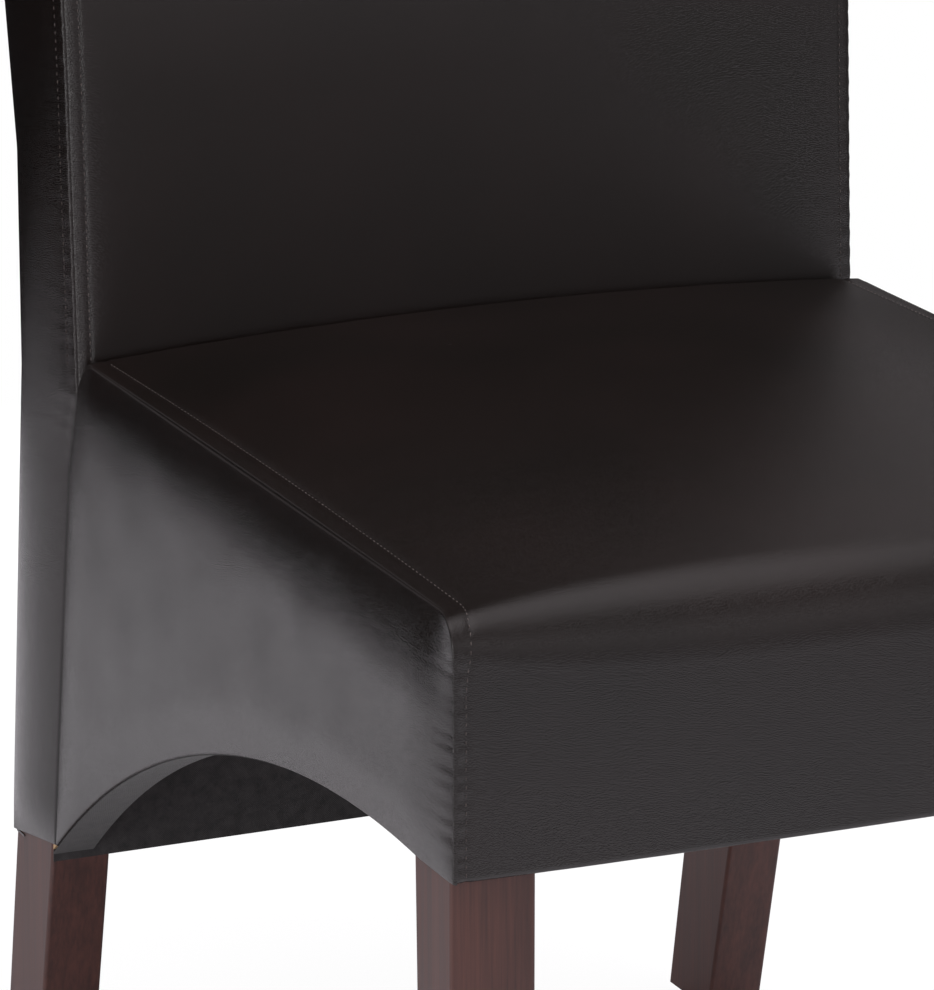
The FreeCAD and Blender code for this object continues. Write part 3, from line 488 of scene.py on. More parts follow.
@dataclass(frozen=True)
class Leather:
    """Smooth dark leather with a fine pressed grain and small creases where it turns a roll."""

    name: str = "dark_leather"
    deep: tuple[float, float, float] = (11, 6, 4)
    light: tuple[float, float, float] = (19, 11, 9)
    roughness: float = 0.24
    pore_scale: float = 900.0
    grain_strength: float = 0.24
    grain_depth: float = 0.0003
    crease_scale: tuple[float, float, float] = (150.0, 150.0, 420.0)
    crease_turn: tuple[float, float, float] = (0.5, 0.5, 0.4)
    crease_strength: float = 0.22
    crease_depth: float = 0.0007

    def material(self) -> bpy.types.Material:
        """Make the material."""
        graph = Graph(self.name)
        cells = graph.node("TexVoronoi", {"Vector": graph.object, "Scale": self.pore_scale,
                                          "Randomness": 1.0}, feature="DISTANCE_TO_EDGE")
        pores = graph.math("MINIMUM", graph.math("MULTIPLY", cells.outputs["Distance"], 5.0), 1.0)
        fine = graph.noise(1400.0, 2.0)
        broad = graph.noise(9.0, 3.0)
        relief = graph.math("ADD", pores, graph.math("MULTIPLY", fine, 0.6))
        grain = graph.bump(relief, self.grain_strength, self.grain_depth)
        creases = graph.noise(1.0, 3.0, graph.stretched(self.crease_scale, self.crease_turn), 0.6)
        zone = graph.node("Attribute", attribute_name="zone").outputs["Fac"]
        wrinkled = graph.bump(graph.math("MULTIPLY", creases, zone), self.crease_strength,
                              self.crease_depth, grain)
        colour = graph.shades(broad, ((0.3, self.deep), (0.7, self.light)))
        rough = graph.scaled(graph.noise(140.0, 4.0), self.roughness - 0.03, self.roughness + 0.05)
        return graph.set(Base_Color=colour, Roughness=rough, Normal=wrinkled, Specular_IOR_Level=0.5)


@dataclass(frozen=True)
class StainedWood:
    """Red-brown stained hardwood: fine upright grain under a satin lacquer."""

    name: str = "stained_wood"
    deep: tuple[float, float, float] = (54, 27, 22)
    light: tuple[float, float, float] = (82, 45, 37)
    roughness: float = 0.42

    def material(self) -> bpy.types.Material:
        """Make the material."""
        graph = Graph(self.name)
        streaks = graph.noise(1.0, 5.0, graph.stretched((520.0, 520.0, 14.0)), 0.65)
        bands = graph.noise(1.0, 2.0, graph.stretched((90.0, 90.0, 3.0)))
        grain = graph.math("ADD", graph.math("MULTIPLY", streaks, 0.6), graph.math("MULTIPLY", bands, 0.4))
        colour = graph.shades(grain, ((0.36, self.deep), (0.64, self.light)))
        normal = graph.bump(streaks, 0.12, 0.0004)
        rough = graph.scaled(streaks, self.roughness, self.roughness + 0.12)
        return graph.set(Base_Color=colour, Roughness=rough, Normal=normal)


@dataclass(frozen=True)
class PlainWood:
    """Raw frame wood with a pale straight grain along the rails."""

    name: str = "frame_wood"

    def material(self) -> bpy.types.Material:
        """Make the material."""
        graph = Graph(self.name)
        rings = graph.noise(1.0, 4.0, graph.stretched((12.0, 160.0, 160.0)), 0.6)
        colour = graph.shades(rings, ((0.35, (150, 116, 78)), (0.65, (196, 164, 122))))
        return graph.set(Base_Color=colour, Roughness=0.7, Normal=graph.bump(rings, 0.2, 0.0006))


@dataclass(frozen=True)
class Steel:
    """Zinc plated steel with faint spangle."""

    name: str = "zinc_steel"

    def material(self) -> bpy.types.Material:
        """Make the material."""
        graph = Graph(self.name)
        spots = graph.noise(420.0, 3.0)
        colour = graph.shades(spots, ((0.3, (150, 150, 148)), (0.7, (190, 190, 184))))
        return graph.set(Base_Color=colour, Metallic=1.0, Roughness=graph.scaled(spots, 0.28, 0.46))


@dataclass(frozen=True)
class Cloth:
    """Thin cloth: threads crossing each other at a pitch, with a mottled colour."""

    name: str
    deep: tuple[float, float, float]
    light: tuple[float, float, float]
    pitch: float = 0.0011

    def material(self) -> bpy.types.Material:
        """Make the material."""
        graph = Graph(self.name)
        turns = 2 * math.pi / self.pitch
        parts = graph.node("SeparateXYZ", {"Vector": graph.object})
        warp = graph.math("SINE", graph.math("MULTIPLY", parts.outputs["X"], turns))
        depth = graph.math("ADD", parts.outputs["Y"], parts.outputs["Z"])
        weft = graph.math("SINE", graph.math("MULTIPLY", depth, turns))
        weave = graph.math("MULTIPLY", warp, weft)
        mottle = graph.noise(160.0, 5.0, rough=0.7)
        colour = graph.shades(mottle, ((0.35, self.deep), (0.65, self.light)))
        return graph.set(Base_Color=colour, Roughness=0.9, Normal=graph.bump(weave, 0.35, 0.0003),
                         Sheen_Weight=0.15)


@dataclass(frozen=True)
class Moulded:
    """Moulded plastic or foam with a fine even texture."""

    name: str
    deep: tuple[float, float, float]
    light: tuple[float, float, float]
    cell: float = 900.0
    roughness: float = 0.55

    def material(self) -> bpy.types.Material:
        """Make the material."""
        graph = Graph(self.name)
        grain = graph.noise(self.cell, 3.0)
        colour = graph.shades(grain, ((0.3, self.deep), (0.7, self.light)))
        return graph.set(Base_Color=colour, Roughness=self.roughness, Normal=graph.bump(grain, 0.2, 0.0004))


@dataclass(frozen=True)
class Finishes:
    """All the materials of the chair."""

    leather: bpy.types.Material
    leg_wood: bpy.types.Material
    frame_wood: bpy.types.Material
    zinc_steel: bpy.types.Material
    webbing: bpy.types.Material
    lining: bpy.types.Material
    glide: bpy.types.Material
    foam: bpy.types.Material
    thread: bpy.types.Material

    @classmethod
    def make(cls) -> "Finishes":
        """Make every material once."""
        return cls(
            leather=Leather().material(),
            leg_wood=StainedWood().material(),
            frame_wood=PlainWood().material(),
            zinc_steel=Steel().material(),
            webbing=Cloth("webbing", (38, 34, 32), (60, 54, 50), 0.0024).material(),
            lining=Cloth("lining", (20, 19, 20), (46, 43, 44)).material(),
            glide=Moulded("glide_plastic", (30, 27, 25), (44, 40, 37)).material(),
            foam=Moulded("foam", (206, 190, 150), (228, 214, 178), 500.0, 0.95).material(),
            thread=Cloth("thread", (44, 35, 34), (88, 78, 76), 0.0008).material(),
        )


# Upholstery


@dataclass
class SeatCushion:
    """Seat: leather over foam that rolls over the front edge and hangs down the front."""

    bow: float = 0.005
    crown: float = 0.020
    rear_crown: float = 0.009
    middle_roll: float = 0.038
    corner_roll: float = 0.015
    corner_power: float = 3.5
    shoulder_share: float = 0.35
    rear_depth: float = 0.48598
    rear_bow: float = 0.004
    rear_corner: float = 0.007
    hem_return: float = 0.020
    hem_radius: float = 0.0022
    lip: float = 0.0008
    pad_rear: float = 0.0042
    half_width: float = 0.227
    path_length: float = 0.66
    row_front: float = 0.0062
    row_top: float = 0.0100
    furrow: float = 0.0013
    gather: float = 0.00030
    stitch_low: float = 0.3385
    stitch_rear: float = 0.480

    def section(self, shares: Array) -> Array:
        """Side view at each share of the half width: hem, face, roll, crowned top, rear.

        The top is the parabola through the roll's end, the crown and the rear edge, and the
        roll is an arc that ends where its slope is the parabola's.

        Args:
            shares: Shares of the half width from -1 to 1.

        Returns:
            Points (depth, height), shape (shares, points, 2).
        """
        s = shares[:, None]
        fall = np.abs(s) ** self.corner_power
        front = -self.bow * (1 - s ** 2)
        floor = FORM.cover_bottom
        roll = self.corner_roll + (self.middle_roll - self.corner_roll) * (1 - fall)
        shoulder = FORM.seam + self.crown * self.shoulder_share * (1 - fall)
        middle = FORM.seam + 0.001 + (self.crown - 0.001) * (1 - fall)
        rear_top = FORM.seam + self.rear_crown * (1 - s ** 2)
        rear = self.rear_depth + self.rear_bow * s ** 2
        lean = 0.1 * np.ones_like(s)
        for _ in range(4):
            start_depth = front + roll * (1 - np.sin(lean))
            start_height = shoulder - roll * (1 - np.cos(lean))
            run = rear - start_depth
            climb = -3 * start_height + 4 * middle - rear_top
            lean = np.arctan(climb / run)
        turn = np.linspace(0, 1, 24)[None] * (math.pi / 2 - lean)
        roll_depth = front + roll * (1 - np.cos(turn))
        roll_height = shoulder - roll * (1 - np.sin(turn))
        along = np.linspace(0, 1, 60)[None, 1:]
        top_height = (start_height + climb * along
                      + (2 * start_height - 4 * middle + 2 * rear_top) * along ** 2)
        top_depth = start_depth + run * along
        hem_turn = np.linspace(0, math.pi / 2, 8)[None]
        hem_depth = front + self.hem_radius * (1 - np.sin(hem_turn))
        hem_height = floor + self.hem_radius * (1 - np.cos(hem_turn))
        begin = np.broadcast_to([self.hem_return, floor], (len(shares), 1, 2))
        parts = [np.stack(np.broadcast_arrays(depth, height), -1) for depth, height in (
            (hem_depth, hem_height), (roll_depth, roll_height), (top_depth, top_height))]
        over = parts[2][:, -1:] + [0.0, -0.040]
        radius = np.full(len(shares), self.rear_corner)
        corner = fillet(parts[2][:, -12], parts[2][:, -1], over[:, 0], radius, 8)
        last = parts[2][:, -1:] * [1, 0] + [0, FORM.foam_bottom + 0.002]
        return np.concatenate([begin, parts[0], parts[1], parts[2][:, :-12], corner, last], axis=1)

    def surfaces(self) -> tuple[Array, Array, Array]:
        """Outer and inner grid of the cushion, with the share of creasing at each outer point."""
        near = np.array([0, 0.25, 0.6, 1.1, 1.8, 3, 4.5, 6, 7.5, 9, 10, 11, 12.5, 15, 18]) / 1000
        away = np.concatenate([near, np.linspace(near[-1], self.half_width, 30)[1:]])
        shares = both_sides(away, self.half_width)
        steps = np.concatenate([np.linspace(0, 0.03, 26, endpoint=False),
                                np.arange(0.03, self.path_length, 0.0024)]) / self.path_length
        rows = np.concatenate([steps[steps < 1], [1.0]])
        sides = np.stack([resample(path, rows) for path in self.section(shares)], axis=1)
        depth, height = sides[..., 0], sides[..., 1]
        away = np.broadcast_to((1 - np.abs(shares))[None] * self.half_width, depth.shape)
        row = self.row_at(height)
        drop = rounding(away, self.lip) + dent(away, row, self.furrow)
        upright = (np.clip((0.447 - height) / 0.01, 0, 1) * np.clip((height - 0.342) / 0.006, 0, 1)
                   * (depth < 0.02))
        folds = gathers(height, 0.0085, 1.6, 0.03, 3)
        drop = drop + self.gather * upright * folds * np.exp(-((away - 0.0035) / 0.0032) ** 2)
        across = shares[None] * (FORM.half_width(depth) - FORM.seam_inset(depth))
        outer = FORM.place(across, depth, height)
        outer = outer - self.normals(outer) * drop[..., None]
        keys = [0, 0.030, 0.150, 1]
        inner_depth = np.interp(rows, keys, [self.hem_return, self.pad_rear, self.pad_rear, 0.483])
        inner_height = np.interp(rows, keys, [FORM.cover_bottom + 0.0014] * 2 + [FORM.foam_bottom] * 2)
        inner = FORM.place(across, inner_depth[:, None], inner_height[:, None])
        crease = np.exp(-((height - 0.452) / 0.022) ** 2) * np.clip(1 - depth / 0.07, 0, 1)
        self.rows = {side: self.stitch_row(outer, away[0], row[:, 0], -side.value) for side in Side}
        return outer, inner, crease

    def row_at(self, height: Array) -> Array:
        """Distance of the stitches from the seam: near it down the front, wider over the top."""
        level = np.clip((height - 0.425) / 0.035, 0, 1)
        return self.row_front + (self.row_top - self.row_front) * smooth(level)

    def stitch_row(self, outer: Array, away: Array, row: Array, step: int) -> tuple[Array, Array]:
        """Path of the stitches beside one seam, with the surface's normals along it.

        Args:
            outer: Visible grid of the cushion.
            away: Distance of each column from its seam.
            row: Distance of the stitches from the seam at each row.
            step: 1 for the left seam and -1 for the right one.

        Returns:
            Points and unit normals, from the lower front edge to the back's face.
        """
        points, normals = (beside_edge(values[:, ::step], away[::step], row)
                           for values in (outer, self.normals(outer)))
        begin = np.argmax(points[:, 2] > self.stitch_low)
        end = np.argmax(points[:, 1] > self.stitch_rear - FORM.centre)
        return points[begin:end], unit(normals[begin:end])

    @staticmethod
    def normals(grid: Array) -> Array:
        """Unit normals of the cushion's grid that point away from the chair."""
        normals = surface_normals(grid)
        return normals if normals[grid.shape[0] // 2, grid.shape[1] // 2, 2] > 0 else -normals

    def build(self, finishes: Finishes) -> None:
        """Make the cushion in place of its foam and leather solids."""
        outer, inner, crease = self.surfaces()
        mesh = Build("seat_cushion")
        value = np.concatenate([crease.ravel(), np.zeros(crease.size)])
        mesh.add(*shell(outer, inner), value)
        piece = mesh.make(finishes.leather, "leather")
        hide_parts("seat_cover", "seat_foam", "front_pad")


@dataclass
class SidePanel:
    """Leather side of the seat: arched lower edge, rolled top, strip turned under the rail."""

    side: Side
    corner_front: float = 0.015
    corner_rear: float = 0.020
    fold: float = 0.0007
    swell: float = 0.0042
    strip: float = 0.020
    tuck_front: float = 0.050
    tuck_loss: float = 0.024
    gather: float = 0.00034
    unevenness: float = 0.00022

    def edges(self) -> tuple[Array, Array, Array, Array]:
        """Lower, upper, front and rear edge in the side view, each divided evenly."""
        rear = FORM.band_hem - FORM.gap
        low_depth = np.concatenate([[0], np.linspace(FORM.arch_start, rear, 60)])
        low_height = np.concatenate([[FORM.cover_bottom], FORM.arch(low_depth[1:], FORM.arch_radius)])
        quarter = np.linspace(0, math.pi / 2, 17)
        front, high = self.corner_front, FORM.seam
        front_arc = np.stack([front - front * np.cos(quarter), high - front + front * np.sin(quarter)], -1)
        knee = FORM.knee[0] - FORM.gap
        back, deep = self.corner_rear, FORM.knee[1]
        rear_arc = np.stack([knee - back + back * np.sin(quarter), deep + back * np.cos(quarter)], -1)
        start = np.concatenate([[[0, FORM.cover_bottom]], front_arc[:9]])
        top = np.concatenate([front_arc[8:], rear_arc[:9]])
        bend = [FORM.gap_bend[0] - FORM.gap, FORM.gap_bend[1]]
        finish = np.concatenate([[[rear, low_height[-1]], bend], rear_arc[:7:-1]])
        return np.stack([low_depth, low_height], -1), top, start, finish

    def build(self, finishes: Finishes) -> None:
        """Make the panel in place of its solid."""
        low, top, start, finish = self.edges()
        across, up = stations(0.53, 0.003), stations(0.16, 0.0026)
        grid = patch(resample(low, across), resample(top, across), resample(start, up), resample(finish, up))
        depth, height = grid[..., 0], grid[..., 1]
        to_low, to_top, to_front, to_rear = (distance_to(grid, edge) for edge in (low, top, start, finish))
        reach = self.tuck_front - self.tuck_loss * np.clip(depth / FORM.seat_depth, 0, 1)
        tuck = (FORM.seam_inset(depth) - FORM.corner_inset) * np.clip(1 - to_top / reach, 0, 1) ** 2
        nearest = np.minimum(np.minimum(to_top, to_front), np.minimum(to_rear, to_low))
        inward = tuck + FORM.corner_inset * np.exp(-to_front / 0.004) + rounding(nearest, self.fold)
        full = ramp(to_front, 0.048) * ramp(to_top, 0.050) * ramp(to_rear, 0.040)
        inward = inward - self.swell * full * ramp(to_low, 0.030)
        upright = np.clip((0.446 - height) / 0.012, 0, 1) * np.clip((height - 0.342) / 0.01, 0, 1)
        uneven = 0.7 + 0.5 * ripple(grid, 0.05, 11)
        folds = upright * gathers(height, 0.0085, 1.6, 0.03, 3) * uneven
        inward = inward + self.gather * folds * np.exp(-to_front / 0.011)
        inward = inward + self.unevenness * ripple(grid, 0.07, 5) * ramp(nearest, 0.02)
        outer = FORM.on_side(self.side, inward, depth, height)
        inner = FORM.on_side(self.side, inward + FORM.leather, depth, height)
        word = self.side.name.lower()
        mesh = Build("side_panel_" + word)
        mesh.add(*shell(outer, inner))
        mesh.add(*self.turned_strip())
        piece = mesh.make(finishes.leather, "leather")
        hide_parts("seat_side_panel_" + word)

    def turned_strip(self) -> tuple[Array, Array]:
        """Shell of the strip that goes in under the rail, along the arch behind the front leg."""
        depth = np.linspace(0.0484, FORM.band_hem - FORM.gap, 90)[None]
        inward = np.linspace(0.0008, self.strip, 6)[:, None]
        sheets = [FORM.on_side(self.side, inward + 0 * depth, depth + 0 * inward,
                               FORM.arch(depth, FORM.arch_radius + lift) + 0 * inward)
                  for lift in (0.0, FORM.leather)]
        return shell(*sheets)


@dataclass
class BackCushion:
    """Back: leather over foam on the face, rolled over the top to the seam behind it."""

    crown: float = 0.004
    side_roll: float = 0.006
    top_roll: float = 0.030
    rear_roll: float = 0.012
    lip: float = 0.0012
    half_width: float = 0.223
    row: float = 0.0068
    furrow: float = 0.0012
    gather: float = 0.00016
    seam_inset: float = 0.0008
    pad_gap: float = 0.0028
    stitch_low: float = 0.455

    def section(self, shares: Array, below_seat: bool) -> Array:
        """Side view at each share of the half width, from the seat up the face and over the top.

        Args:
            shares: Shares of the half width from -1 to 1.
            below_seat: True to begin at the side band's lower front corner.

        Returns:
            Points (depth, height), shape (shares, points, 2).
        """
        drop = self.crown * shares ** 2 + self.side_roll * np.abs(shares) ** 24
        count = len(shares)

        def at(depth: Array | float, height: float) -> Array:
            """Points at a height, one per share."""
            return np.stack([np.broadcast_to(depth, count), np.full(count, height)], -1)

        back = drop - self.crown - self.side_roll
        bend_low = at(FORM.gap_bend[0] + back, FORM.gap_bend[1])
        knee = at(FORM.face(FORM.knee[1]) + drop, FORM.knee[1])
        bend = at(FORM.face(FORM.face_bend) + drop, FORM.face_bend)
        top = at(FORM.face(FORM.top) + drop, FORM.top)
        rear = at(FORM.rear(FORM.top), FORM.top)
        behind = at(FORM.rear(FORM.lumbar_high), FORM.lumbar_high)
        if below_seat:
            begin = [at(FORM.band_hem + back, FORM.hem_front)[:, None], bend_low[:, None]]
        else:
            lift = (FORM.foam_bottom - FORM.gap_bend[1]) / (FORM.knee[1] - FORM.gap_bend[1])
            begin = [(bend_low + (knee - bend_low) * lift)[:, None]]
        arcs = [fillet(knee, bend, top, np.full(count, 0.6), 12),
                fillet(bend, top, rear, np.full(count, self.top_roll), 14),
                fillet(top, rear, behind, np.full(count, self.rear_roll), 10)]
        return np.concatenate([*begin, knee[:, None], *arcs], axis=1)

    def build(self, finishes: Finishes) -> None:
        """Make the cushion in place of its foam and leather solids."""
        near = np.array([0, 0.25, 0.6, 1.1, 1.8, 3, 4, 5, 6, 7, 8, 9.5, 12, 15, 18]) / 1000
        away = np.concatenate([near, np.linspace(near[-1], self.half_width, 26)[1:]])
        shares = both_sides(away, self.half_width)
        rows = np.linspace(0, 1, 270)
        sides = np.stack([resample(path, rows) for path in self.section(shares, False)], axis=1)
        depth, height = sides[..., 0], sides[..., 1]
        away = np.broadcast_to((1 - np.abs(shares))[None] * self.half_width, depth.shape)
        across = shares[None] * (FORM.half_width(depth) - self.seam_inset)
        outer = FORM.place(across, depth, height)
        normals = surface_normals(outer)
        normals = normals if normals[60, len(shares) // 2, 1] < 0 else -normals
        folds = gathers(height, 0.0115, 1.5, 0.05, 7)
        drop = rounding(away, self.lip) + dent(away, self.row, self.furrow)
        drop = drop + self.gather * folds * np.exp(-((away - 0.004) / 0.004) ** 2)
        outer = outer - normals * drop[..., None]
        self.rows = {side: self.stitch_row(outer, normals, away[0], -side.value) for side in Side}
        front = FORM.frame_front - self.pad_gap
        keys = [0, 0.24, 0.885, 1]
        inner_depth = np.interp(rows, keys, [front, front, 0.6164, FORM.rear(0.976) - self.pad_gap])
        inner_height = np.interp(rows, keys, [FORM.foam_bottom, 0.552, 0.9764, 0.9764])
        inner = FORM.place(across, inner_depth[:, None], inner_height[:, None])
        mesh = Build("back_cushion")
        mesh.add(*shell(outer, inner))
        piece = mesh.make(finishes.leather, "leather")
        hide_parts("back_front_cover", "back_foam")

    def stitch_row(self, outer: Array, normals: Array, away: Array, step: int) -> tuple[Array, Array]:
        """Path of the stitches beside one seam of the face, with the surface's normals along it."""
        points, turned = (beside_edge(values[:, ::step], away[::step], self.row)
                          for values in (outer, normals))
        begin = np.argmax(points[:, 2] > self.stitch_low)
        return points[begin:-2], unit(turned[begin:-2])


@dataclass
class SideBand:
    """Leather side of the back, from the top down to the low hem beside the rear leg."""

    side: Side
    cushion: BackCushion
    fold: float = 0.0012
    swell: float = 0.0056
    row: float = 0.0075
    furrow: float = 0.0012
    gather: float = 0.00018
    stitch_low: float = 0.452

    def edges(self) -> tuple[Array, Array, Array, Array]:
        """Lower, upper, front and rear edge in the side view."""
        front = self.cushion.section(np.array([1.0]), True)[0]
        top_start, top_end = len(front) - 24, len(front) - 10
        front_middle, rear_middle = top_start + 7, top_end + 5
        heights = np.array([FORM.hem, 0.30, FORM.lumbar_low, FORM.lumbar_high, 0.75])
        behind = np.stack([FORM.rear(heights), heights], -1)
        rear = np.concatenate([behind, front[:rear_middle - 1:-1]])
        low = np.stack([front[0], behind[0]])
        return low, front[front_middle:rear_middle + 1], front[:front_middle + 1], rear

    def build(self, finishes: Finishes) -> None:
        """Make the band in place of its solid."""
        low, top, front, rear = self.edges()
        across, up = stations(0.09, 0.0022), stations(0.83, 0.0032)
        grid = patch(resample(low, across), resample(top, across), resample(front, up), resample(rear, up))
        depth, height = grid[..., 0], grid[..., 1]
        to_front, to_rear = distance_to(grid, front), distance_to(grid, rear)
        to_end = np.minimum(distance_to(grid, low), distance_to(grid, top))
        inward = rounding(np.minimum(np.minimum(to_front, to_rear), to_end), self.fold)
        swell = self.swell * 4 * to_front * to_rear / (to_front + to_rear) ** 2
        inward = inward - swell * ramp(to_end, 0.030)
        above = np.clip((height - 0.40) / 0.02, 0, 1)
        folds = gathers(height, 0.0105, 1.5, 0.05, 9)
        inward = inward + above * dent(to_front, self.row, self.furrow)
        inward = inward + self.gather * folds * above * np.exp(-to_front / 0.010)
        outer = FORM.on_side(self.side, inward, depth, height)
        self.rows = [self.stitch_row(outer, to_front)]
        inner = FORM.on_side(self.side, inward + FORM.leather, depth, height)
        word = self.side.name.lower()
        mesh = Build("side_band_" + word)
        mesh.add(*shell(outer, inner))
        piece = mesh.make(finishes.leather, "leather")
        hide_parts("back_side_band_" + word)

    def stitch_row(self, outer: Array, away: Array) -> tuple[Array, Array]:
        """Path of the stitches beside the front edge, with the surface's normals along it."""
        normals = surface_normals(outer)
        normals = normals * np.sign(normals[100, 20, 0] * self.side.value)
        points, turned = (beside_edge(values[10:-10], away[10:-10], self.row)
                          for values in (outer, normals))
        kept = points[:, 2] > self.stitch_low
        return points[kept], unit(turned[kept])


@dataclass
class RearLeather:
    """Leather behind the back, from the top seam down to the hem under the rear board."""

    fold: float = 0.0012
    hem_turn: float = 0.0145
    half_width: float = 0.223
    seam_inset: float = 0.0008
    row: float = 0.0075
    stitch_low: float = 0.176
    stitch_high: float = 0.972

    def build(self, finishes: Finishes) -> None:
        """Make the leather in place of its solid."""
        shares = 2 * stations(2 * self.half_width, 0.008) - 1
        heights = np.array([FORM.hem + 0.004, 0.28, FORM.lumbar_low - 0.01, FORM.lumbar_low + 0.01,
                            FORM.lumbar_high - 0.015, FORM.lumbar_high + 0.015, 0.7, 0.85, 0.9766])
        path = np.stack([FORM.rear(heights), heights], -1)
        hem_rear = FORM.rear(np.array(FORM.hem))
        hem = np.array([[hem_rear - self.hem_turn, FORM.hem], [hem_rear - 0.003, FORM.hem],
                        [hem_rear - 0.0008, FORM.hem + 0.0012]])
        rows = stations(0.85, 0.006)
        line = resample(np.concatenate([hem, path]), rows)
        slope = unit(np.gradient(line, axis=0))
        behind = line + np.stack([-slope[:, 1], slope[:, 0]], -1) * FORM.leather
        half = FORM.half_width(line[:, :1]) - self.seam_inset
        away = (1 - np.abs(shares)) * self.half_width
        lip = rounding(away, self.fold)[None]
        outer = FORM.place(shares[None] * half, line[:, :1] - lip, line[:, 1:])
        self.rows = []
        for step in (1, -1):
            points = beside_edge(outer[:, ::step], away[::step], self.row)
            points = points[(points[:, 2] > self.stitch_low) & (points[:, 2] < self.stitch_high)]
            self.rows.append((points, np.broadcast_to([0.0, 1.0, 0.0], points.shape)))
        inner = FORM.place(shares[None] * half, behind[:, :1] - lip, behind[:, 1:])
        mesh = Build("rear_leather")
        mesh.add(*shell(outer, inner))
        piece = mesh.make(finishes.leather, "leather")
        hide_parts("back_rear_cover")


@dataclass
class Stitching:
    """Rows of sewn stitches, each a small rounded bead of thread lying along the seam."""

    pitch: float = 0.0042
    length: float = 0.0019
    thickness: float = 0.00056
    lift: float = 0.15

    def bead(self) -> tuple[Array, Array]:
        """Points and quads of one stitch: a cube of 3 by 3 by 3 points pushed onto an ellipsoid."""
        steps = np.array([-1.0, 0.0, 1.0])
        cube = np.stack(np.meshgrid(steps, steps, steps, indexing="ij"), -1).reshape(-1, 3)
        faces = []
        number = np.arange(27).reshape(3, 3, 3)
        for axis in range(3):
            for end in (0, 2):
                sheet = np.take(number, end, axis)
                quads = np.stack([sheet[:-1, :-1], sheet[1:, :-1], sheet[1:, 1:], sheet[:-1, 1:]], -1)
                faces.append(quads.reshape(-1, 4))
        used = np.delete(np.arange(27), 13)
        order = np.full(27, -1)
        order[used] = np.arange(26)
        points = unit(cube[used]) * [self.length / 2, self.thickness / 2, self.thickness / 2]
        faces = order[np.concatenate(faces)]
        centres = points[faces].mean(1)
        a, b, c = (points[faces[:, corner]] for corner in range(3))
        inside = (np.cross(b - a, c - a) * centres).sum(-1) < 0
        faces[inside] = faces[inside][:, ::-1]
        return points, faces

    def row(self, path: Array, normals: Array) -> tuple[Array, Array]:
        """Beads at the pitch along a path, each turned to its direction and standing on the surface."""
        steps = np.linalg.norm(np.diff(path, axis=0), axis=1)
        along = np.concatenate([[0], np.cumsum(steps)])
        spots = np.arange(self.pitch / 2, along[-1], self.pitch)
        centre, up, ahead = (np.stack([np.interp(spots, along, axis) for axis in values.T], -1)
                             for values in (path, normals, unit(np.gradient(path, axis=0))))
        ahead = unit(ahead)
        across = unit(np.cross(up, ahead))
        up = np.cross(ahead, across)
        points, faces = self.bead()
        base = np.stack([ahead, across, up], 1)
        lifted = centre[:, None] + up[:, None] * self.thickness * self.lift
        placed = lifted + np.einsum("pk,skd->spd", points, base)
        numbers = faces[None] + (np.arange(len(spots)) * len(points))[:, None, None]
        return placed.reshape(-1, 3), numbers.reshape(-1, 4)

    def build(self, name: str, rows: list[tuple[Array, Array]], finishes: Finishes) -> None:
        """Make one piece of all the stitches of some rows."""
        mesh = Build(name)
        for path, normals in rows:
            mesh.add(*self.row(path, normals))
        mesh.make(finishes.thread, "leather")


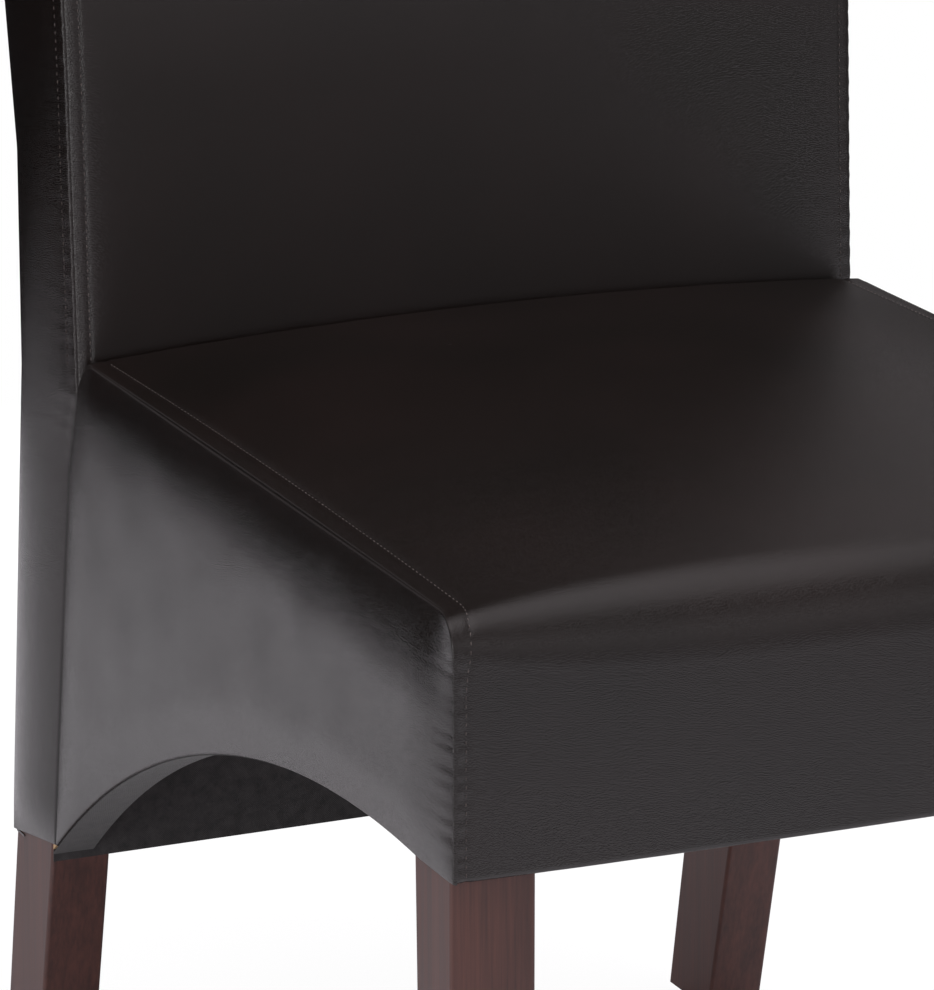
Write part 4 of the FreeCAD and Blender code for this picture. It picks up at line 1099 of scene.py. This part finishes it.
@dataclass
class Linings:
    """Dark cloth under the chair: between the rear legs, under the arches and under the seat."""

    thickness: float = 0.0006
    low: float = 0.1664
    high: float = 0.3365
    hem_end: float = 0.5975
    arch_depths: tuple[float, float] = (0.0490, 0.5515)
    arch_insets: tuple[float, float] = (0.0016, 0.0244)
    arch_drops: tuple[float, float] = (0.0007, 0.0001)
    seat_level: float = 0.3376
    seat_sag: float = 0.004

    def sheet(self, name: str, outer: Array, inner: Array, finishes: Finishes) -> bpy.types.Object:
        """Make one thin sheet."""
        mesh = Build(name)
        mesh.add(*shell(outer, inner))
        piece = mesh.make(finishes.lining, "lining")
        return piece

    def between_legs(self, finishes: Finishes) -> None:
        """Cloth over the fronts of the rear legs, and the cloth from there back to the rear hem."""
        heights = np.linspace(self.high, self.low, 44)
        front = FORM.frame_front + (FORM.lumbar_low - heights) * FORM.apron_rake - FORM.leather
        upright = np.stack([front, heights], -1)
        level = np.stack([np.linspace(front[-1] + FORM.gap, self.hem_end, 20), np.full(20, self.low)], -1)
        nodes = ("rear_lining", "post_lining_left", "post_lining_right")
        for name, side, inset, slack, covered in (("leg_lining", upright, 0.0020, 0.0012, nodes),
                                                  ("hem_lining", level, 0.0356, 0.0, ())):
            half = FORM.half_width(side[:, 0]) - inset
            shares = np.linspace(-1, 1, 48)
            share = np.linspace(0, math.pi, len(side))
            sag = slack * np.sin(share)[:, None] * (1 - shares ** 2)[None]
            slope = unit(np.gradient(side, axis=0))
            behind = side + np.stack([-slope[:, 1], slope[:, 0]], -1) * self.thickness
            sheets = [FORM.place(shares[None] * half[:, None], line[:, :1] + sag, line[:, 1:])
                      for line in (side, behind)]
            piece = self.sheet(name, *sheets, finishes)
            if covered:
                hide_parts(*covered)

    def under_arch(self, side: Side, finishes: Finishes) -> None:
        """Cloth over the turned-in leather and the rail's edge, along the arch."""
        depth = np.linspace(*self.arch_depths, 80)[None]
        inward = np.linspace(*self.arch_insets, 8)[:, None]
        sheets = [FORM.on_side(side, inward + 0 * depth, depth + 0 * inward,
                               FORM.arch(depth, FORM.arch_radius - drop) + 0 * inward)
                  for drop in self.arch_drops]
        self.sheet("arch_lining_" + side.name.lower(), *sheets, finishes)

    def under_seat(self, finishes: Finishes) -> None:
        """Cloth stapled under the seat between the rails, sagging a little in its middle."""
        depth = np.concatenate([np.linspace(0.0287, 0.0480, 6), np.linspace(0.0486, 0.500, 60)])
        inset = np.where(depth < 0.0483, 0.0440, 0.0240)
        shares = np.linspace(-1, 1, 60)
        half = FORM.half_width(depth) - inset
        along = np.clip((depth - 0.028) / 0.47, 0, 1)
        sag = self.seat_sag * (1 - shares ** 2)[None] * np.sin(np.pi * along)[:, None]
        level = self.seat_level - sag
        outer = FORM.place(shares[None] * half[:, None], depth[:, None], level)
        inner = FORM.place(shares[None] * half[:, None], depth[:, None], level + self.thickness)
        piece = self.sheet("under_cloth", outer, inner, finishes)
        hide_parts("dust_cover")

    def build(self, finishes: Finishes) -> None:
        """Make every lining."""
        self.between_legs(finishes)
        for side in Side:
            self.under_arch(side, finishes)
        self.under_seat(finishes)


# Frame, room and camera


class WoodenFrame:
    """Solids of the frame, its fasteners, straps and linings, with their finishes."""

    def dress(self, finishes: Finishes) -> None:
        """Give every solid the finish of its slot in the record."""
        for part in frame["record"]["subparts"]:
            node = frame["nodes"][part["node"]]
            node.data.materials.clear()
            node.data.materials.append(getattr(finishes, part["material_slot"]))
        LOG.info("frame: %d solids dressed", len(frame["nodes"]))


@dataclass
class Studio:
    """White floor, soft lights, and a room of uneven brightness that only reflections see."""

    floor_radius: float = 1.68
    floor_glow: float = 1.08
    room_radius: float = 5.0
    room_low: float = -0.004
    soft_light: float = 0.45
    target: tuple[float, float, float] = (0, 0, 0.45)
    camera_at: tuple[float, float, float] = (-1.2802, -2.73284, 1.2866)
    camera_forward: tuple[float, float, float] = (0.3867, 0.8784, -0.2808)
    camera_right: tuple[float, float, float] = (0.915, -0.403, 0)
    focal_length: float = 225.45
    sensor_width: float = 36

    def disc(self, name: str, radius: float, height: float, material: bpy.types.Material) -> None:
        """Flat round plate: points evenly round a circle."""
        turn = np.linspace(0, 2 * math.pi, 96, endpoint=False)
        points = np.stack([radius * np.cos(turn), radius * np.sin(turn), np.full(96, height)], -1)
        mesh = bpy.data.meshes.new(name)
        mesh.from_pydata(points.tolist(), [], [list(range(96))])
        mesh.materials.append(material)
        plate = bpy.data.objects.new(name, mesh)
        bpy.context.scene.collection.objects.link(plate)

    def floor(self) -> None:
        """White floor that keeps a soft shadow and fades into the white behind it."""
        graph = Graph("floor_white")
        graph.set(Base_Color=(0.92, 0.88, 0.93, 1), Roughness=0.9, Specular_IOR_Level=0.0)
        seen = graph.node("LightPath").outputs["Is Camera Ray"]
        reach = graph.node("VectorMath", {0: graph.object}, operation="LENGTH").outputs["Value"]
        fade = graph.node("MapRange", {"Value": reach, "From Min": 0.5, "From Max": 1.5, "To Min": 0.86,
                                       "To Max": 1.0}, interpolation_type="SMOOTHSTEP").outputs["Result"]
        glow = graph.node("Emission", {"Color": (1, 1, 1, 1), "Strength": self.floor_glow})
        mix = graph.node("MixShader", {"Fac": graph.math("MULTIPLY", seen, fade)})
        output = graph.tree.nodes["Material Output"]
        graph.tree.links.new(graph.shader.outputs[0], mix.inputs[1])
        graph.tree.links.new(glow.outputs[0], mix.inputs[2])
        graph.tree.links.new(mix.outputs[0], output.inputs["Surface"])
        self.disc("floor", self.floor_radius, 0.0, graph.material)

    @staticmethod
    def step(graph: Graph, value: Any, begin: float, end: float, height: float) -> bpy.types.NodeSocket:
        """Soft step from 0 up to a height as a value passes from begin to end."""
        return graph.node("MapRange", {"Value": value, "From Min": begin, "From Max": end, "To Min": 0.0,
                                       "To Max": height}, interpolation_type="SMOOTHSTEP").outputs["Result"]

    def surroundings(self) -> None:
        """Room seen by reflections alone: light before the chair and above it, dark low behind."""
        graph = Graph("dim_room")
        parts = graph.node("SeparateXYZ", {"Vector": graph.object}).outputs
        behind = self.step(graph, parts["Z"], 0.4, 1.5, 0.28)
        before = graph.math("ADD", self.step(graph, parts["Z"], 1.0, 2.0, 0.5), 0.45)
        dimmer = self.step(graph, parts["Z"], 2.6, 3.5, 0.75)
        above = self.step(graph, parts["Z"], 4.0, 4.6, 1.1)
        turn = self.step(graph, graph.math("MULTIPLY", parts["Y"], -1.0), -1.2, 1.2, 1.0)
        band = graph.math("SUBTRACT", before, graph.math("ADD", dimmer, behind))
        sides = graph.math("ADD", behind, graph.math("MULTIPLY", band, turn))
        level = graph.math("ADD", graph.math("MAXIMUM", sides, 0.01), above)
        glow = graph.node("Emission", {"Color": (1.0, 0.94, 0.97, 1), "Strength": level})
        output = graph.tree.nodes["Material Output"]
        graph.tree.links.new(glow.outputs[0], output.inputs["Surface"])
        turn = np.linspace(0, 2 * math.pi, 48)
        rise = np.linspace(0, math.pi / 2 - 0.02, 16)[:, None]
        level = self.room_radius * np.cos(rise)
        height = self.room_radius * np.sin(rise) + self.room_low
        dome = np.stack(np.broadcast_arrays(level * np.cos(turn), level * np.sin(turn), height), -1)
        middle = np.broadcast_to([0.0, 0.0, self.room_low], (1, 48, 3))
        grid = np.concatenate([middle + 0.01 * (dome[:1] * [1, 1, 0]), dome])
        index = np.arange(grid.shape[0] * grid.shape[1]).reshape(grid.shape[:2])
        faces = np.stack([index[:-1, :-1], index[1:, :-1], index[1:, 1:], index[:-1, 1:]], -1).reshape(-1, 4)
        mesh = bpy.data.meshes.new("surroundings")
        mesh.from_pydata(grid.reshape(-1, 3).tolist(), [], faces.tolist())
        mesh.materials.append(graph.material)
        walls = bpy.data.objects.new("surroundings", mesh)
        bpy.context.scene.collection.objects.link(walls)
        walls.visible_camera = walls.visible_diffuse = walls.visible_shadow = False
        walls.visible_transmission = walls.visible_volume_scatter = False

    def world(self) -> None:
        """White for the camera, reflections and clear things, and a soft grey light for the rest."""
        world = bpy.data.worlds.new("studio")
        world.use_nodes = True
        tree = world.node_tree
        path = tree.nodes.new("ShaderNodeLightPath")
        white = path.outputs["Is Camera Ray"]
        for kind in ("Is Glossy Ray", "Is Transmission Ray"):
            either = tree.nodes.new("ShaderNodeMath")
            either.operation = "MAXIMUM"
            tree.links.new(white, either.inputs[0])
            tree.links.new(path.outputs[kind], either.inputs[1])
            white = either.outputs[0]
        strength = tree.nodes.new("ShaderNodeMapRange")
        strength.inputs["To Min"].default_value = self.soft_light
        strength.inputs["To Max"].default_value = 1.0
        tree.links.new(white, strength.inputs["Value"])
        background = tree.nodes["Background"]
        background.inputs["Color"].default_value = (1, 1, 1, 1)
        tree.links.new(strength.outputs["Result"], background.inputs["Strength"])
        bpy.context.scene.world = world

    def lamp(self, name: str, at: tuple[float, float, float], size: float, power: float,
             seen: bool = True) -> None:
        """Square soft light that points at the chair's middle, seen by reflections or not."""
        data = bpy.data.lights.new(name, "AREA")
        data.size, data.energy = size, power
        lamp = bpy.data.objects.new(name, data)
        lamp.location = at
        lamp.visible_glossy = seen
        lamp.rotation_euler = (Vector(self.target) - Vector(at)).to_track_quat("-Z", "Y").to_euler()
        bpy.context.scene.collection.objects.link(lamp)

    def camera(self) -> None:
        """Long lens from the front left and above, as worked out from the chair's edges."""
        forward, right = Vector(self.camera_forward).normalized(), Vector(self.camera_right).normalized()
        up = right.cross(forward)
        data = bpy.data.cameras.new("camera")
        data.lens, data.sensor_width = self.focal_length, self.sensor_width
        data.clip_start, data.clip_end = 0.1, 60
        camera = bpy.data.objects.new("camera", data)
        turn = Matrix((right, up, -forward)).transposed().to_4x4()
        camera.matrix_world = Matrix.Translation(self.camera_at) @ turn
        bpy.context.scene.collection.objects.link(camera)
        bpy.context.scene.camera = camera

    def build(self) -> None:
        """Make the whole studio."""
        self.floor()
        self.surroundings()
        self.world()
        self.lamp("overhead", (0.1, -0.5, 2.75), 1.7, 66, seen=False)
        self.lamp("left_fill", (-2.4, -1.0, 0.60), 1.2, 15)
        self.camera()
        view = bpy.context.scene.view_settings
        view.view_transform = "Standard"


def main() -> None:
    """Build the chair piece by piece."""
    logging.basicConfig(level=logging.INFO, format="%(message)s")
    finishes = Finishes.make()
    Studio().build()
    WoodenFrame().dress(finishes)
    seat, cushion, rear = SeatCushion(), BackCushion(), RearLeather()
    seat.build(finishes)
    cushion.build(finishes)
    rear.build(finishes)
    for side in Side:
        SidePanel(side).build(finishes)
        band = SideBand(side, cushion)
        band.build(finishes)
        word = side.name.lower()
        Stitching().build("seat_stitching_" + word, [seat.rows[side]], finishes)
        Stitching().build("back_stitching_" + word, [cushion.rows[side], *band.rows], finishes)
    Stitching().build("rear_stitching", rear.rows, finishes)
    Linings().build(finishes)


if __name__ == "__main__":
    main()
